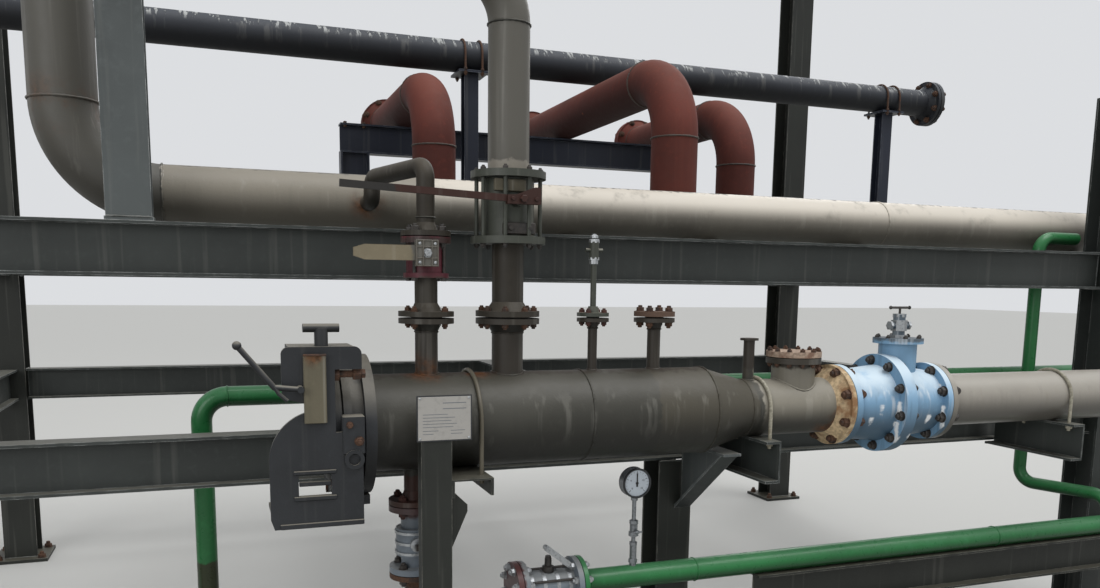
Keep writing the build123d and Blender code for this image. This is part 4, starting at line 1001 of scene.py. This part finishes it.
# %% Clamps, gusset and frame bolts
REAR_RADIUS, CLAMP_ROD, PLATE = sizes[150][0] / 2, 6, 12
CLAMP_BEND, SADDLE_TOP = REAR_RADIUS + CLAMP_ROD + 1, REAR_PIPE_Z - REAR_RADIUS
PORTAL_Y, PORTAL_TOP, PORTAL_PLATE, PORTAL_POSTS = 600, 2580.45, 9.9, (-770, 1300)
GUSSET = ((-854, 834), (-854, 1022), (-836, 1022), (-798, 985), (-798, 962))
TEE_POSTS, STUB_FOOT, ARC_STEPS = (LEFT_X, TEE_X, RIGHT_X), UPPER_TOP + PLATE, 16
frame_clamps, frame_plates = Pile(), Pile()


def nut_pair(x, y, top, thick):
    """Nuts under and on a plate."""
    nut(frame_clamps, at(x, y, top - thick), -Z_WAY, 12)
    nut(frame_clamps, at(x, y, top), Z_WAY, 12)


for x in [post + shift for post in TEE_POSTS for shift in (-48, 48)]:
    path = [at(x, TEE_Y - CLAMP_BEND, SADDLE_TOP - 30)]
    for angle in [math.pi * i / ARC_STEPS for i in range(ARC_STEPS + 1)]:
        path.append(at(x, TEE_Y - CLAMP_BEND * math.cos(angle), REAR_PIPE_Z + CLAMP_BEND * math.sin(angle)))
    path.append(at(x, TEE_Y + CLAMP_BEND, SADDLE_TOP - 30))
    tube(frame_clamps, path, X_WAY, CLAMP_ROD)
    for way in WAYS:
        nut_pair(x, TEE_Y + way * CLAMP_BEND, SADDLE_TOP, PLATE)
frame_plates.loft([[at(x, y, z) for x, z in GUSSET] for y in (-1966, -1956)])
for x in PORTAL_POSTS:
    for way_x, way_y in CORNERS:
        nut_pair(x + way_x * 52, PORTAL_Y + way_y * 26, PORTAL_TOP, PORTAL_PLATE)
for x in TEE_POSTS:
    for way_y, way_x in CORNERS:
        nut(frame_clamps, at(x + way_x * 32, TEE_Y + way_y * 56, STUB_FOOT), Z_WAY, 11)
for way_x, way_y in CORNERS:
    nut(frame_clamps, at(STUB_X + way_x * 60, FRONT_Y + way_y * 20, STUB_FOOT), Z_WAY, 9)
frame_clamps.piece("pipe_clamps_and_frame_bolts", brown_steel, "rusty_steel", smooth=40)
frame_plates.piece("label_post_gusset", shaded_frame_paint, "grey_structure_paint")

# %% [markdown]
# Frame joints are welded by hand: along the flanges and down both sides of the web where a girder meets a
# post, and along the outer faces of a post where it stands on its base plate.

# %% Frame welds
GIRDER_DEPTH, GIRDER_HALF, GIRDER_FLANGE, WEB_HALF, COLUMN_HALF = 180, 47, 10.7, 3.25, 87.5
WEB_LENGTH_HALF, LOW_POST_TOP, LOW_POST_HALF = GIRDER_DEPTH / 2 - GIRDER_FLANGE, 380, 50
MIDDLE_HALF, STUB_HALF, TEE_POST_HALF, PORTAL_HALF = 75, 70, 40, 80
BRACKETS, BRACKET_FACES, KNEE_X, KNEE_MIDDLE, KNEE_HALF = (400, 1955), (1125.45, 965.45), 265, 930, 130
frame_welds, portal_welds = Pile(), Pile()


def foot_welds(pile, x, y, half, heights, half_deep=None):
    """Welds along the two flange faces of an upright, on each plate it touches."""
    for z in heights:
        for way in WAYS:
            seam(pile, x, y + way * (half_deep or half), z, X_WAY, half)


for y in (FRONT_Y, REAR_Y):
    for top in (UPPER_TOP, LOWER_TOP):
        for x, out in ((LEFT_X + COLUMN_HALF, 1), (RIGHT_X - COLUMN_HALF, -1)):
            for z in (top, top - GIRDER_DEPTH):
                seam(frame_welds, x, y, z, Y_WAY, GIRDER_HALF)
            for way in WAYS:
                seam(frame_welds, x + out, y + way * WEB_HALF, top - GIRDER_DEPTH / 2, Z_WAY, WEB_LENGTH_HALF)
    for x in (LEFT_X, RIGHT_X):
        foot_welds(frame_welds, x, y, COLUMN_HALF, (BASE_THICK,))
foot_welds(frame_welds, MIDDLE_POST, FRONT_Y, MIDDLE_HALF, (BASE_THICK, LOWER_TOP - GIRDER_DEPTH))
foot_welds(frame_welds, STUB_X, FRONT_Y, STUB_HALF, (STUB_FOOT,), GIRDER_HALF)
for x in LOW_POSTS:
    foot_welds(frame_welds, x, LOW_Y, LOW_POST_HALF, (BASE_THICK, LOW_POST_TOP))
for x in TEE_POSTS:
    foot_welds(portal_welds, x, TEE_Y, TEE_POST_HALF, (STUB_FOOT, SADDLE_TOP - PLATE))
for x in PORTAL_POSTS:
    for way in WAYS:
        seam(portal_welds, x + way * PORTAL_HALF, PORTAL_Y, UPPER_TOP, Y_WAY, 44)
for x in BRACKETS:
    for z in BRACKET_FACES:
        seam(frame_welds, x, FRONT_Y - GIRDER_HALF, z, X_WAY, 31)
for way in WAYS:
    seam(frame_welds, KNEE_X + way * 5, FRONT_Y - MIDDLE_HALF, KNEE_MIDDLE, Z_WAY, KNEE_HALF)
frame_welds.piece("frame_weld_seams", frame_paint, "grey_structure_paint", smooth=60)
portal_welds.piece("portal_weld_seams", portal_paint, "dark_portal_paint", smooth=60)
print("points of frame bolts", len(frame_clamps.points), "points of frame welds", len(frame_welds.points))

# %% [markdown]
# The stage is a plain pale floor under soft light. The main light is a very wide sun high over the bay, like
# a bright hazy sky, so tops are bright and fronts lie in soft shade. Two weak lamps fill the front left and
# the back right. The world gives the even part of the light, and the camera sees it as a pale background.

# %% Floor
FLOOR_HALF, FLOOR_HEX = 60.0, "#b9b9b6"
floor_mesh = bpy.data.meshes.new("pale_floor")
outline = [(x * FLOOR_HALF, y * FLOOR_HALF, 0) for x, y in ((-1, -1), (1, -1), (1, 1), (-1, 1))]
floor_mesh.from_pydata(outline, [], [(0, 1, 2, 3)])
floor = into_scene("pale_floor", floor_mesh)
floor_material, floor_shader, _ = blank_material("pale_matt_floor")
plug(floor_material, floor_shader, {"Base Color": tone(FLOOR_HEX), "Roughness": 0.9})
floor_mesh.materials.append(floor_material)

# %% World and lamps
WORLD_HEX, WORLD_LEVEL, BACKGROUND_LEVEL = "#e9ebee", 0.42, 0.88
world = bpy.data.worlds.new("soft_sky")
bpy.context.scene.world = world
world.use_nodes = True
ray = add(world, "LightPath").outputs
seen = larger(world, ray["Is Camera Ray"], larger(world, ray["Is Glossy Ray"], ray["Is Transmission Ray"]))
level = add(world, "MapRange", {"Value": seen, "To Min": WORLD_LEVEL, "To Max": BACKGROUND_LEVEL}).outputs[0]
plug(world, world.node_tree.nodes["Background"], {"Color": tone(WORLD_HEX), "Strength": level})


def soft_lamp(name, place, aim, kind, energy, width):
    """A lamp aimed at a point: width is the side of an area lamp in metres, or the angle of a wide sun."""
    lamp = bpy.data.lights.new(name, kind)
    lamp.energy = energy
    setattr(lamp, "size" if kind == "AREA" else "angle", width)
    holder = into_scene(name, lamp)
    holder.location = place
    holder.rotation_euler = (Vector(aim) - Vector(place)).to_track_quat("-Z", "Y").to_euler()


soft_lamp("high_hazy_sky", (2.5, -2.0, 9.5), (0, 0, 1.2), "SUN", 2.3, math.radians(50))
soft_lamp("back_right_fill", (7.0, 7.0, 8.0), (0, 0, 1.8), "AREA", 300, 5.0)
soft_lamp("front_left_fill", (-8.0, -8.0, 5.0), (0, 0, 1.4), "AREA", 300, 5.0)
bpy.context.scene.view_settings.view_transform = "Standard"
